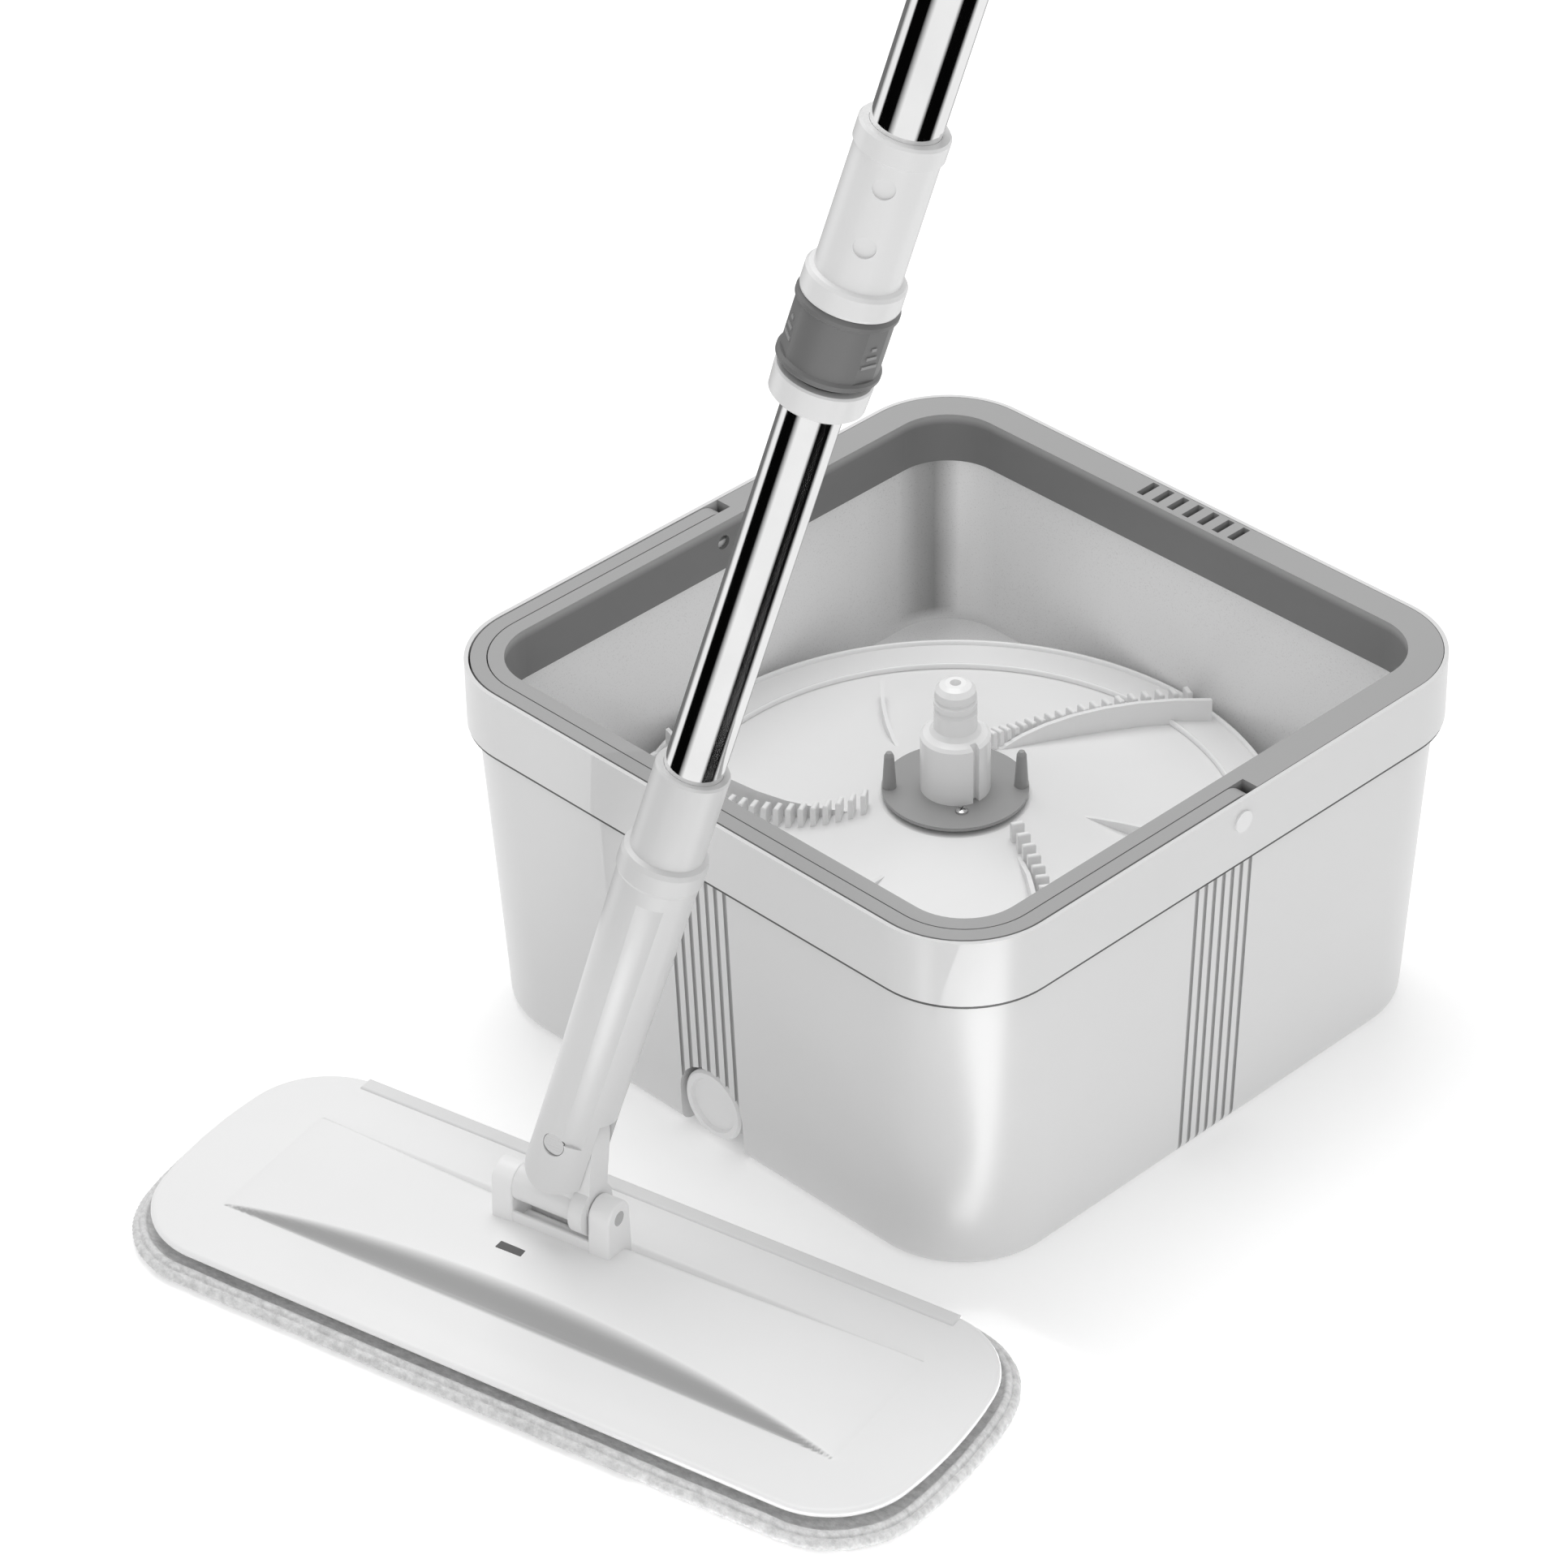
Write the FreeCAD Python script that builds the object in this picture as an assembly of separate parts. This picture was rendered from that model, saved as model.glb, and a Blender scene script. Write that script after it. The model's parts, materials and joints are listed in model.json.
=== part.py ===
import FreeCAD, Part
import math
import os

# Spin mop set: a square bucket with a spinner, and a flat mop on a telescopic pole.
# Millimetres.  Origin at the centre of the bucket's base, +Z up, the bucket's sides along X and Y,
# and the mop head on the floor in front of the bucket's -Y side.

Vector = FreeCAD.Vector
Placement = FreeCAD.Placement
Rotation = FreeCAD.Rotation
X_AXIS = Vector(1, 0, 0)
Y_AXIS = Vector(0, 1, 0)
Z_AXIS = Vector(0, 0, 1)

# ---------------------------------------------------------------- driving dimensions
running_gap = 0.05           # radial clearance of pins and shafts in their bores
loose_gap = 0.4              # clearance between moulded parts

# outer bucket
top_width = 290.0
bucket_height = 160.0
collar_height = 28.0
body_top_width = 284.5
base_width = 274.0
top_corner = 40.0
base_corner = 42.0
base_round = 6.0
wall = 2.4
floor = 3.0
collar_wall = 1.7
collar_step = 2.0            # thickness of the ledge that joins the collar to the body
feature_x = 3.0              # middle of the drain and of the ribs on the front side
feature_y = -4.0             # middle of the ribs on the right side
rib_count = 7
rib_pitch = 4.9
rib_width = 2.0
rib_depth = 0.8

# rim ring and carry handle: distances of their faces from the bucket's middle
skirt_in = 129.5
skirt_out = 131.3
skirt_bottom = 138.0
land_bottom = 156.5
channel_in = 134.0
channel_out = 135.8
strap_in = 136.3
strap_out = 142.5
ring_out = 143.0
strap_bottom = 148.0
pivot_y = 2.0
pivot_z = 150.5
hub_radius = 9.5
channel_end = 11.9
pin_radius = 3.0
vent_count = 7
vent_pitch = 8.0
vent_width = 3.4

# inner basin and wash tray
basin_floor = 60.0
basin_sheet = 1.8
basin_top = 150.0
basin_top_in = 131.7
basin_low_in = 130.7
flange_z = 134.1             # underside of the flange that sits on the collar's ledge
tray_radius = 129.6
tray_z = 77.6
tray_sheet = 2.0
tray_bore = 14.0
tooth_count = 20

# spinner
plate_z = 94.4
plate_radius = 28.75
plate_sheet = 2.2
post_radius = 13.75
neck_radius = 8.5
shoulder_z = 122.0
neck_top = 135.0
cap_top = 145.0
shaft_radius = 4.0
bearing_out = 11.0
bearing_width = 7.0
drive_pin_orbit = 25.7
drive_pin_angle = 45.0
impeller_z = 22.0

# drain
drain_z = 17.5
drain_arch = 17.0
drain_back = -126.0
knob_radius = 15.0

# mop head, in its own frame: X along the head, Y across it, towards the bucket
head_x = 36.0
head_y = -244.0
head_yaw = 12.5
cloth_half = (175.0, 66.5)
plate_half = (168.5, 60.0)
base_half = (161.0, 53.0)
cloth_top = 7.0
base_bottom = 8.0
plate_bottom = 10.0
plate_top = 13.0
hump_half = (132.0, 31.5)
hump_top = 21.0
hump_flat = 20.0             # half width of the hump's crest across the head
hump_sheet = 2.4
yoke_x = -14.0
yoke_y = 17.0
hinge_z = 37.0
ear_in = 17.0
ear_out = 26.5
ear_half = 7.0
trough_rise = 5.5            # height of the low wall in front of the yoke

# knuckle and pole, in their own frames: Z along the pole, Y towards the bucket
knuckle_pitch = 8.5          # lean of the knuckle towards the bucket
pole_tilt = 14.10            # lean of the pole along the head
tilt_pin_x = 4.6             # from the middle of the yoke to the tilt pin
tilt_pin_height = 30.0       # from the hinge axle to the tilt pin
barrel_radius = 7.5
cheek_radius = 10.4
cheek_x = (10.5, 16.4)
tongue_half = 6.0
crown_radius = 12.0
socket_bottom = -21.7
socket_step = (122.0, 133.5)
socket_top = 170.0
flute_radius = 12.0
flute_angle = -62.0          # side of the socket on which its long flute lies, from X towards Y
lower_tube_r = 11.0
upper_tube_r = 12.5
tube_sheet = 1.0
lower_tube_z = (34.0, 700.0)
upper_tube_z = (378.2, 1090.0)
end_ring_z = (328.0, 339.2)
lock_z = (341.8, 369.2)
sleeve_z = (369.6, 436.0)
dimple_z = (396.2, 419.0)
face_angle = -52.0           # side of the pole on which its recesses lie, from X towards Y
rod_z = (460.0, 1060.0)
rod_section = (9.0, 2.6)
rod_lead = 150.0
nut_z = (678.3, 690.0)
nut_gap = 0.35
grip_z = (985.0, 1100.0)


# ---------------------------------------------------------------- helpers
def box(x0, x1, y0, y1, z0, z1):
    return Part.makeBox(x1 - x0, y1 - y0, z1 - z0, Vector(x0, y0, z0))


def rod(radius, start, end):
    """A round bar from one point to another."""
    start = Vector(*start)
    along = Vector(*end) - start
    return Part.makeCylinder(radius, along.Length, start, along)


def tube(outer, inner, z0, z1):
    return rod(outer, (0, 0, z0), (0, 0, z1)).cut(rod(inner, (0, 0, z0 - 1), (0, 0, z1 + 1)))


def polygon(points):
    closed = [Vector(*p) for p in points]
    return Part.Face(Part.makePolygon(closed + closed[:1]))


def turned(profile):
    """A solid of revolution about Z from (radius, height) points."""
    return polygon([(r, 0, z) for r, z in profile]).revolve(Vector(), Z_AXIS, 360)


def rounded_square(half, corner, z):
    """A closed wire: a square of the given half width with round corners."""
    flat = half - corner
    edges = []
    for quarter in range(4):
        turn = Rotation(Z_AXIS, 90 * quarter)
        side = (Vector(half, -flat, z), Vector(half, flat, z))
        bend = (Vector(half, flat, z),
                Vector(flat + corner * math.sqrt(0.5), flat + corner * math.sqrt(0.5), z),
                Vector(flat, half, z))
        edges.append(Part.LineSegment(*[turn.multVec(p) for p in side]).toShape())
        edges.append(Part.Arc(*[turn.multVec(p) for p in bend]).toShape())
    return Part.Wire(edges)


def square_block(half, corner, z0, z1):
    return Part.Face(rounded_square(half, corner, z0)).extrude(Vector(0, 0, z1 - z0))


def tapered_block(half0, corner0, z0, half1, corner1, z1):
    wires = [rounded_square(half0, corner0, z0), rounded_square(half1, corner1, z1)]
    return Part.makeLoft(wires, True, True)


def square_band(inner, outer, z0, z1):
    """A wall that follows the bucket's rounded square."""
    block = square_block(outer, corner_at(outer), z0, z1)
    return block.cut(square_block(inner, corner_at(inner), z0 - 1, z1 + 1))


def corner_at(half):
    """Corner radius of a contour that lies inside the bucket's top edge."""
    return top_corner - (top_width / 2 - half)


def side_at(z):
    """Half width of the bucket's tapered body at a height."""
    share = z / (bucket_height - collar_height)
    return (base_width + (body_top_width - base_width) * share) / 2


def joined(shapes):
    return shapes[0].fuse(shapes[1:]).removeSplitter()


def group(shapes):
    return Part.Compound(shapes)


def around(angle, radius, z=0.0):
    return Vector(radius * math.cos(math.radians(angle)), radius * math.sin(math.radians(angle)), z)


# ---------------------------------------------------------------- frames of the mop
head_frame = Placement(Vector(head_x, head_y, 0), Rotation(Z_AXIS, head_yaw))
knuckle_frame = head_frame.multiply(
    Placement(Vector(yoke_x, yoke_y, hinge_z), Rotation(X_AXIS, -knuckle_pitch)))
pole_frame = knuckle_frame.multiply(
    Placement(Vector(tilt_pin_x, 0, tilt_pin_height), Rotation(Y_AXIS, pole_tilt)))


def placed(shape, frame):
    moved = shape.copy()
    moved.Placement = frame.multiply(moved.Placement)
    return moved


# ---------------------------------------------------------------- outer bucket
def rib_grooves():
    grooves = []
    top = bucket_height - collar_height
    outline = [(side_at(-1) - rib_depth, -1), (side_at(top) - rib_depth, top),
               (side_at(top) + 5, top), (side_at(-1) + 5, -1)]
    for number in range(rib_count):
        shift = (number - (rib_count - 1) / 2) * rib_pitch - rib_width / 2
        front = polygon([(feature_x + shift, -h, z) for h, z in outline])
        grooves.append(front.extrude(Vector(rib_width, 0, 0)))
        right = polygon([(h, feature_y + shift, z) for h, z in outline])
        grooves.append(right.extrude(Vector(0, rib_width, 0)))
    return grooves


def drain_arch_block(half, y0, y1, bottom):
    block = box(feature_x - half, feature_x + half, y0, y1, bottom, drain_z)
    return block.fuse(rod(half, (feature_x, y0, drain_z), (feature_x, y1, drain_z)))


def outer_bucket():
    shoulder = bucket_height - collar_height
    body = tapered_block(base_width / 2, base_corner, 0, body_top_width / 2, top_corner + 1, shoulder)
    base_edges = [e for e in body.Edges if e.BoundBox.ZMax < 0.01]
    body = body.makeFillet(base_round, base_edges)
    collar = square_block(top_width / 2, top_corner, shoulder, bucket_height)
    inside = tapered_block(side_at(floor) - wall, base_corner - wall, floor,
                           side_at(shoulder) - wall, top_corner + 1 - wall, shoulder)
    collar_half = top_width / 2 - collar_wall
    ledge = shoulder + collar_step
    collar_inside = square_block(collar_half, corner_at(collar_half), ledge, bucket_height + 1)
    hole_half = side_at(shoulder) - wall
    collar_inside = collar_inside.fuse(square_block(hole_half, top_corner + 1 - wall, shoulder, ledge))
    boss = drain_arch_block(drain_arch + wall, -side_at(drain_z), drain_back + wall, 0)
    boss = boss.common(body)
    shell = body.fuse(collar).cut(inside).cut(collar_inside).fuse(boss)
    cuts = rib_grooves()
    cuts.append(drain_arch_block(drain_arch, -side_at(0) - 10, drain_back, -1))
    cuts.append(rod(9.0, (feature_x, drain_back - 1, drain_z), (feature_x, drain_back + wall + 1, drain_z)))
    for side in (-1, 1):
        far = side * (top_width / 2 + 1)
        cuts.append(rod(pin_radius + running_gap, (side * 140, pivot_y, pivot_z), (far, pivot_y, pivot_z)))
    return shell.cut(cuts).removeSplitter()


def handle_pivot_pins():
    pins = []
    for side in (-1, 1):
        face = side * (top_width / 2)
        shank = rod(pin_radius, (side * (channel_in + 0.2), pivot_y, pivot_z), (face, pivot_y, pivot_z))
        head = rod(4.4, (face, pivot_y, pivot_z), (face + side * 0.9, pivot_y, pivot_z))
        pins.append(shank.fuse(head).removeSplitter())
    return group(pins)


# ---------------------------------------------------------------- rim ring and handle
def rim_ring():
    skirt = square_band(skirt_in, skirt_out, skirt_bottom, land_bottom)
    land = square_band(skirt_in, ring_out, land_bottom, bucket_height)
    back_wall = square_band(ring_out - 1, ring_out, flange_z + 2.4, land_bottom)
    back_wall = back_wall.cut(box(-200, 200, -200, channel_end, 0, 200))
    channel_wall = square_band(channel_in, channel_out, 140, land_bottom)
    channel_wall = channel_wall.cut(box(-200, 200, channel_end + 1.8, 200, 0, 200))
    channel_floor = square_band(channel_in, ring_out, 145.6, 147.2)
    hub_clear = pivot_y - hub_radius - loose_gap
    channel_floor = channel_floor.cut(box(-200, 200, hub_clear, 200, 0, 200))
    end_walls = square_band(channel_in, ring_out, 140, land_bottom)
    end_walls = end_walls.common(box(-200, 200, channel_end, channel_end + 1.8, 0, 200))
    ring = skirt.fuse([land, back_wall, channel_wall, channel_floor, end_walls])
    channel = square_band(channel_out, ring_out + 1, land_bottom - 1, bucket_height + 1)
    cuts = [channel.common(box(-200, 200, -200, channel_end, 0, 200))]
    cuts.append(rod(pin_radius + running_gap, (-140, pivot_y, pivot_z), (140, pivot_y, pivot_z)))
    for number in range(vent_count):
        x = -1 + (number - (vent_count - 1) / 2) * vent_pitch
        cuts.append(box(x - vent_width / 2, x + vent_width / 2, skirt_out + 0.5, ring_out - 1.1, 150, 170))
    return ring.cut(cuts).removeSplitter()


def carry_handle():
    strap = square_band(strap_in, strap_out, strap_bottom, bucket_height)
    strap = strap.cut(box(-200, 200, pivot_y, 200, 0, 200))
    hubs = []
    for side in (-1, 1):
        hubs.append(rod(hub_radius, (side * strap_in, pivot_y, pivot_z), (side * strap_out, pivot_y, pivot_z)))
    bore = rod(pin_radius + running_gap, (-150, pivot_y, pivot_z), (150, pivot_y, pivot_z))
    return strap.fuse(hubs).cut(bore).removeSplitter()


# ---------------------------------------------------------------- inner basin and wash tray
def inner_basin():
    corner = corner_at(basin_top_in)
    inner = tapered_block(basin_low_in, corner, basin_floor, basin_top_in, corner, basin_top)
    outer = tapered_block(basin_low_in + basin_sheet, corner + basin_sheet, basin_floor - basin_sheet,
                          basin_top_in + basin_sheet, corner + basin_sheet, basin_top)
    collar_half = top_width / 2 - collar_wall - loose_gap
    flange = square_block(collar_half, corner_at(collar_half), flange_z, flange_z + 2)
    basin = outer.fuse(flange).cut(inner)
    cuts = [rod(shaft_radius + 1, (0, 0, 50), (0, 0, 70))]
    for number in range(5):
        x = (number - 2) * 26
        cuts.append(box(x - 9, x + 9, 60, 66, 50, 70))
    for angle in range(45, 360, 90):
        low = around(angle, 19, 50)
        cuts.append(rod(1.6, low, low + Vector(0, 0, 20)))
    return basin.cut(cuts).removeSplitter()


def tray_surface(radius):
    """Height of the tray's upper face: a flat border, a shallow dish and a cone up to the hub."""
    dish = tray_z - 1.4
    share = max(0.0, min(1.0, (104 - radius) / (104 - 30)))
    return dish + (93.0 - dish) * share ** 2.3


def tray_body():
    radii = [112, 104, 92, 80, 70, 60, 52, 45, 40, 35, 30]
    upper = [Vector(r, 0, tray_surface(r)) for r in radii]
    lower = [p - Vector(0, 0, tray_sheet) for p in reversed(upper)]
    top_curve = Part.BSplineCurve()
    top_curve.interpolate(upper)
    low_curve = Part.BSplineCurve()
    low_curve.interpolate(lower)
    hub = [upper[-1], Vector(tray_bore, 0, 93.0), Vector(tray_bore, 0, 91.0), lower[0]]
    rim = [lower[-1], Vector(tray_radius - 2, 0, tray_z - 3.4), Vector(tray_radius - 2, 0, tray_z - 9),
           Vector(tray_radius, 0, tray_z - 9), Vector(tray_radius, 0, tray_z),
           Vector(112.8, 0, tray_z), upper[0]]
    edges = [top_curve.toShape(), Part.makePolygon(hub), low_curve.toShape(), Part.makePolygon(rim)]
    wire = Part.Wire([e for part in edges for e in part.Edges])
    return Part.Face(wire).revolve(Vector(), Z_AXIS, 360)


def comb_angle(radius):
    return 127.1 - 0.325 * radius


def fin_angle(radius):
    return 124.5 - 0.358 * radius


def low_fin_angle(radius):
    return 171.0 - 0.2 * radius


def comb_teeth():
    """Three curved rows of upright teeth."""
    teeth = []
    for row in range(3):
        for number in range(tooth_count):
            radius = 36 + number * 4.75
            foot = tray_surface(radius) - 1
            tooth = box(-1.1, 1.1, -2.6, 2.6, foot, tray_surface(radius) + 8.5)
            tooth = tooth.makeFillet(0.9, [e for e in tooth.Edges if e.BoundBox.ZMin > foot + 5])
            angle = comb_angle(radius) + 120 * row
            tooth.Placement = Placement(around(angle, radius), Rotation(Z_AXIS, angle - 22))
            teeth.append(tooth)
    return teeth


def curved_fin(angle_of, radii, rise, sheet):
    """An upright wall whose foot follows a curve on the tray."""
    left = []
    right = []
    for radius in radii:
        across = around(angle_of(radius) + 70, sheet / 2)
        point = around(angle_of(radius), radius)
        left.append(point + across)
        right.append(point - across)
    outline = [Vector(p.x, p.y, tray_z - 2.5) for p in left + right[::-1]]
    return Part.Face(Part.makePolygon(outline + outline[:1])).extrude(Vector(0, 0, rise))


def wash_tray():
    body = tray_body()
    extras = comb_teeth()
    clear_of_hub = rod(31, (0, 0, 50), (0, 0, 120))
    for row in range(3):
        turn = Placement(Vector(), Rotation(Z_AXIS, 120 * row))
        fin = curved_fin(fin_angle, range(42, 128, 12), 12.5, 1.8)
        low = curved_fin(low_fin_angle, range(36, 106, 10), 9.0, 1.6)
        extras.append(placed(fin, turn))
        extras.append(placed(low.cut(clear_of_hub), turn))
    for angle in range(15, 360, 90):
        foot = around(angle, 96, basin_floor + 0.2)
        extras.append(rod(4, foot, Vector(foot.x, foot.y, tray_z - 2.5)))
    return body.fuse(extras).removeSplitter()


def tank_divider():
    return box(-134, 134, 46, 48, floor + 0.1, basin_floor - basin_sheet - 0.2)


def bearing_housing():
    body = turned([(9, basin_floor), (24, basin_floor), (24, basin_floor + 3), (13.4, basin_floor + 3),
                   (13.4, 92.4), (9, 92.4)])
    pockets = [rod(bearing_out + running_gap, (0, 0, 60.0), (0, 0, 68.0)),
               rod(bearing_out + running_gap, (0, 0, 85.0), (0, 0, 93.0))]
    for angle in range(45, 360, 90):
        low = around(angle, 19, 50)
        pockets.append(rod(1.6, low, low + Vector(0, 0, 20)))
    return body.cut(pockets).removeSplitter()


def hub_bearings():
    rings = []
    for low in (60.6, 85.0):
        rings.append(tube(bearing_out, shaft_radius + running_gap, low, low + bearing_width))
    return group(rings)


def housing_screws():
    screws = []
    for angle in range(45, 360, 90):
        spot = around(angle, 19)
        shank = rod(1.5, (spot.x, spot.y, 58.4), (spot.x, spot.y, 63))
        head = rod(2.8, (spot.x, spot.y, 63), (spot.x, spot.y, 65))
        screws.append(shank.fuse(head).removeSplitter())
    return group(screws)


# ---------------------------------------------------------------- spinner and pump
def rotor_flange():
    plate = turned([(shaft_radius + running_gap, plate_z), (plate_radius - 1, plate_z),
                    (plate_radius, plate_z + 0.8), (plate_radius, plate_z + plate_sheet),
                    (shaft_radius + running_gap, plate_z + plate_sheet)])
    return plate


def drive_pins():
    low = plate_z + plate_sheet
    pins = []
    for side in (0, 180):
        pin = turned([(0, low), (2.85, low), (1.95, low + 14.5), (1.2, low + 16), (0, low + 16)])
        pin.Placement = Placement(around(drive_pin_angle + side, drive_pin_orbit), Rotation())
        pins.append(pin)
    return group(pins)


def flange_screws():
    screws = []
    low = plate_z + plate_sheet
    for angle in (-38, 142):
        spot = around(angle, 17.5)
        head = turned([(0, low), (2.6, low), (2.4, low + 0.9), (1.3, low + 1.5), (0, low + 1.5)])
        head = head.cut(group([box(-1.6, 1.6, -0.25, 0.25, low + 0.7, low + 3),
                               box(-0.25, 0.25, -1.6, 1.6, low + 0.7, low + 3)]))
        head.Placement = Placement(Vector(spot.x, spot.y, 0), Rotation(Z_AXIS, 20))
        screws.append(head)
    return group(screws)


def spindle_post():
    low = plate_z + plate_sheet
    bore = shaft_radius + running_gap
    body = turned([(bore, low), (post_radius, low), (post_radius, shoulder_z - 1.2), (post_radius - 1.2, shoulder_z),
                   (neck_radius + 1.6, shoulder_z + 1.2), (neck_radius, shoulder_z + 3), (neck_radius, neck_top - 2.5),
                   (neck_radius - 1, neck_top - 1.5), (neck_radius - 1, neck_top), (bore, neck_top)])
    key = box(post_radius - 2.6, post_radius + 2, -1.4, 1.4, low - 1, shoulder_z + 5)
    key.Placement = Placement(Vector(), Rotation(Z_AXIS, -10))
    return body.cut(key).removeSplitter()


def post_cap():
    low = neck_top
    return turned([(0, low + 1), (4.3, low + 1), (4.3, low), (neck_radius, low), (neck_radius, low + 2.2),
                   (neck_radius - 1, low + 2.8), (neck_radius - 1, low + 3.6), (neck_radius - 0.2, low + 4.2),
                   (neck_radius - 0.6, low + 7), (neck_radius - 2.2, low + 9), (neck_radius - 4.4, cap_top),
                   (2.2, cap_top), (2.0, cap_top - 3), (0, cap_top - 3)])


def spindle_shaft():
    return rod(shaft_radius, (0, 0, impeller_z - 4), (0, 0, neck_top + 0.6))


def pump_impeller():
    bore = shaft_radius + running_gap
    disc = turned([(bore, impeller_z), (17, impeller_z), (17, impeller_z + 1.8), (7, impeller_z + 1.8),
                   (7, impeller_z + 12), (bore, impeller_z + 12)])
    vanes = []
    for angle in range(0, 360, 60):
        vane = box(6.5, 16.5, -0.8, 0.8, impeller_z + 1, impeller_z + 9)
        vane.Placement = Placement(Vector(), Rotation(Z_AXIS, angle))
        vanes.append(vane)
    return disc.fuse(vanes).removeSplitter()


def shaft_clip():
    return tube(6.5, shaft_radius + running_gap, 55.0, 56.2)


def pump_housing():
    cup = turned([(0, floor + 0.1), (22.5, floor + 0.1), (22.5, 40), (20, 40), (20, 14), (8, 14), (8, 8), (0, 8)])
    inlets = []
    for angle in range(0, 360, 45):
        inlet = box(15, 30, -2.5, 2.5, 15, 20)
        inlet.Placement = Placement(Vector(), Rotation(Z_AXIS, angle))
        inlets.append(inlet)
    return cup.cut(inlets).removeSplitter()


def pump_cover():
    return turned([(shaft_radius + 1, 40.1), (22.5, 40.1), (22.5, 42), (shaft_radius + 4, 42),
                   (shaft_radius + 4, 52), (shaft_radius + 1, 52)])


# ---------------------------------------------------------------- drain
def along_y(shape):
    """Turns a solid of revolution about Z so that +Z becomes -Y, and moves it to the drain."""
    return placed(shape, Placement(Vector(feature_x, 0, drain_z), Rotation(X_AXIS, 90)))


def drain_socket():
    face = -drain_back
    return along_y(turned([(6.5, face - 10), (8.9, face - 10), (8.9, face), (11, face), (11, face + 1.2),
                           (6.5, face + 1.2)]))


def drain_plug():
    face = -drain_back
    return along_y(turned([(0, face - 8), (6.2, face - 8), (6.2, face + 5), (knob_radius - 0.8, face + 5),
                           (knob_radius, face + 5.8), (knob_radius, face + 10.2), (knob_radius - 1, face + 11.2),
                           (knob_radius - 3.2, face + 11.2), (knob_radius - 4, face + 9.8), (0, face + 9.8)]))


def drain_seal():
    ring = Part.makeTorus(8.2, 1.2, Vector(0, 0, -drain_back + 3.6), Z_AXIS)
    return along_y(ring)


# ---------------------------------------------------------------- mop head
def head_block(half, corner, bow, z0, z1):
    """A flat block with straight long sides, bowed ends and round corners."""
    length, width = half
    end = length - bow
    wire = Part.Wire([
        Part.LineSegment(Vector(-end, -width, z0), Vector(end, -width, z0)).toShape(),
        Part.Arc(Vector(end, -width, z0), Vector(length, 0, z0), Vector(end, width, z0)).toShape(),
        Part.LineSegment(Vector(end, width, z0), Vector(-end, width, z0)).toShape(),
        Part.Arc(Vector(-end, width, z0), Vector(-length, 0, z0), Vector(-end, -width, z0)).toShape()])
    block = Part.Face(wire).extrude(Vector(0, 0, z1 - z0))
    uprights = [e for e in block.Edges if e.BoundBox.ZLength > 0.9 * (z1 - z0)]
    return block.makeFillet(corner, uprights)


def hump(inset, top):
    """The raised lens on the head: an arched slab with slanted front and back."""
    length = hump_half[0] - 4 * inset
    base = plate_top - 3 - inset
    rise = top - plate_top
    radius = (length ** 2 + rise ** 2) / (2 * rise)
    arch = rod(radius, (0, -50, top - radius), (0, 50, top - radius))
    arch = arch.common(box(-length, length, -40, 40, base, top + 1))
    slope = (hump_half[1] - hump_flat) / (hump_top - plate_top)
    low_half = hump_half[1] - inset + slope * (plate_top - base)
    high_half = hump_flat - inset - slope * (top + 1 - hump_top)
    section = polygon([(-200, -low_half, base), (-200, low_half, base), (-200, high_half, top + 1),
                       (-200, -high_half, top + 1)])
    return arch.common(section.extrude(Vector(400, 0, 0)))


def screw_spots():
    return [Vector(x, y, 0) for x in (-110, 110) for y in (-38, 38)]


def head_plate():
    plate = head_block(plate_half, 36, 10, plate_bottom, plate_top)
    rim_edges = [e for e in plate.Edges if e.BoundBox.ZMin > plate_top - 0.01]
    plate = plate.makeFillet(1.6, rim_edges)
    shell = plate.fuse(hump(0, hump_top))
    yoke = []
    front = yoke_y - ear_half
    for side in (-1, 1):
        low, high = sorted((yoke_x + side * ear_in, yoke_x + side * ear_out))
        ear = box(low, high, front, yoke_y + ear_half, plate_top, hinge_z)
        yoke.append(ear.fuse(rod(ear_half, (low, yoke_y, hinge_z), (high, yoke_y, hinge_z))))
    yoke.append(box(yoke_x - ear_in - 1, yoke_x + ear_in + 1, front, front + 1.6, hump_top - 4,
                    hump_top + trough_rise))
    shell = shell.fuse(yoke)
    bar = rear_bar(0.35)
    hollow = hump(hump_sheet, hump_top - hump_sheet)
    cuts = [bar, hollow, rod(pin_radius + running_gap, (-60, yoke_y, hinge_z), (50, yoke_y, hinge_z)),
            box(-28, -16.5, -6, -2, plate_bottom, hump_top + 1)]
    for spot in screw_spots():
        cuts.append(rod(1.65, spot, spot + Vector(0, 0, plate_top - 0.4)))
    return shell.cut(cuts).removeSplitter()


def rear_bar(gap):
    return box(-134 - gap, 134 + gap, plate_half[1] - 6.5 - gap, plate_half[1] + 1 * (gap > 0), plate_bottom - 1, 20)


def rear_edge_strip():
    strip = box(-134, 134, plate_half[1] - 6.5, plate_half[1], plate_bottom, plate_top + 1.2)
    return strip.makeFillet(1.0, [e for e in strip.Edges if e.BoundBox.ZMin > plate_top + 1])


def base_plate():
    plate = head_block(base_half, 32, 9, base_bottom, plate_bottom - 0.1)
    holes = []
    for spot in screw_spots():
        holes.append(rod(1.65, spot, spot + Vector(0, 0, 20)))
        holes.append(rod(3.1, spot, spot + Vector(0, 0, base_bottom + 1)))
    return plate.cut(holes)


def plate_screws():
    screws = []
    for spot in screw_spots():
        shank = rod(1.6, spot + Vector(0, 0, base_bottom + 0.2), spot + Vector(0, 0, plate_top - 0.6))
        head = rod(3.0, spot + Vector(0, 0, base_bottom + 0.1), spot + Vector(0, 0, base_bottom + 1))
        screws.append(shank.fuse(head).removeSplitter())
    return group(screws)


def hook_strips():
    strips = []
    for side in (-1, 1):
        middle = side * 26
        strips.append(box(-120, 120, middle - 14, middle + 14, cloth_top + 0.1, base_bottom - 0.05))
    return group(strips)


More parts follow.
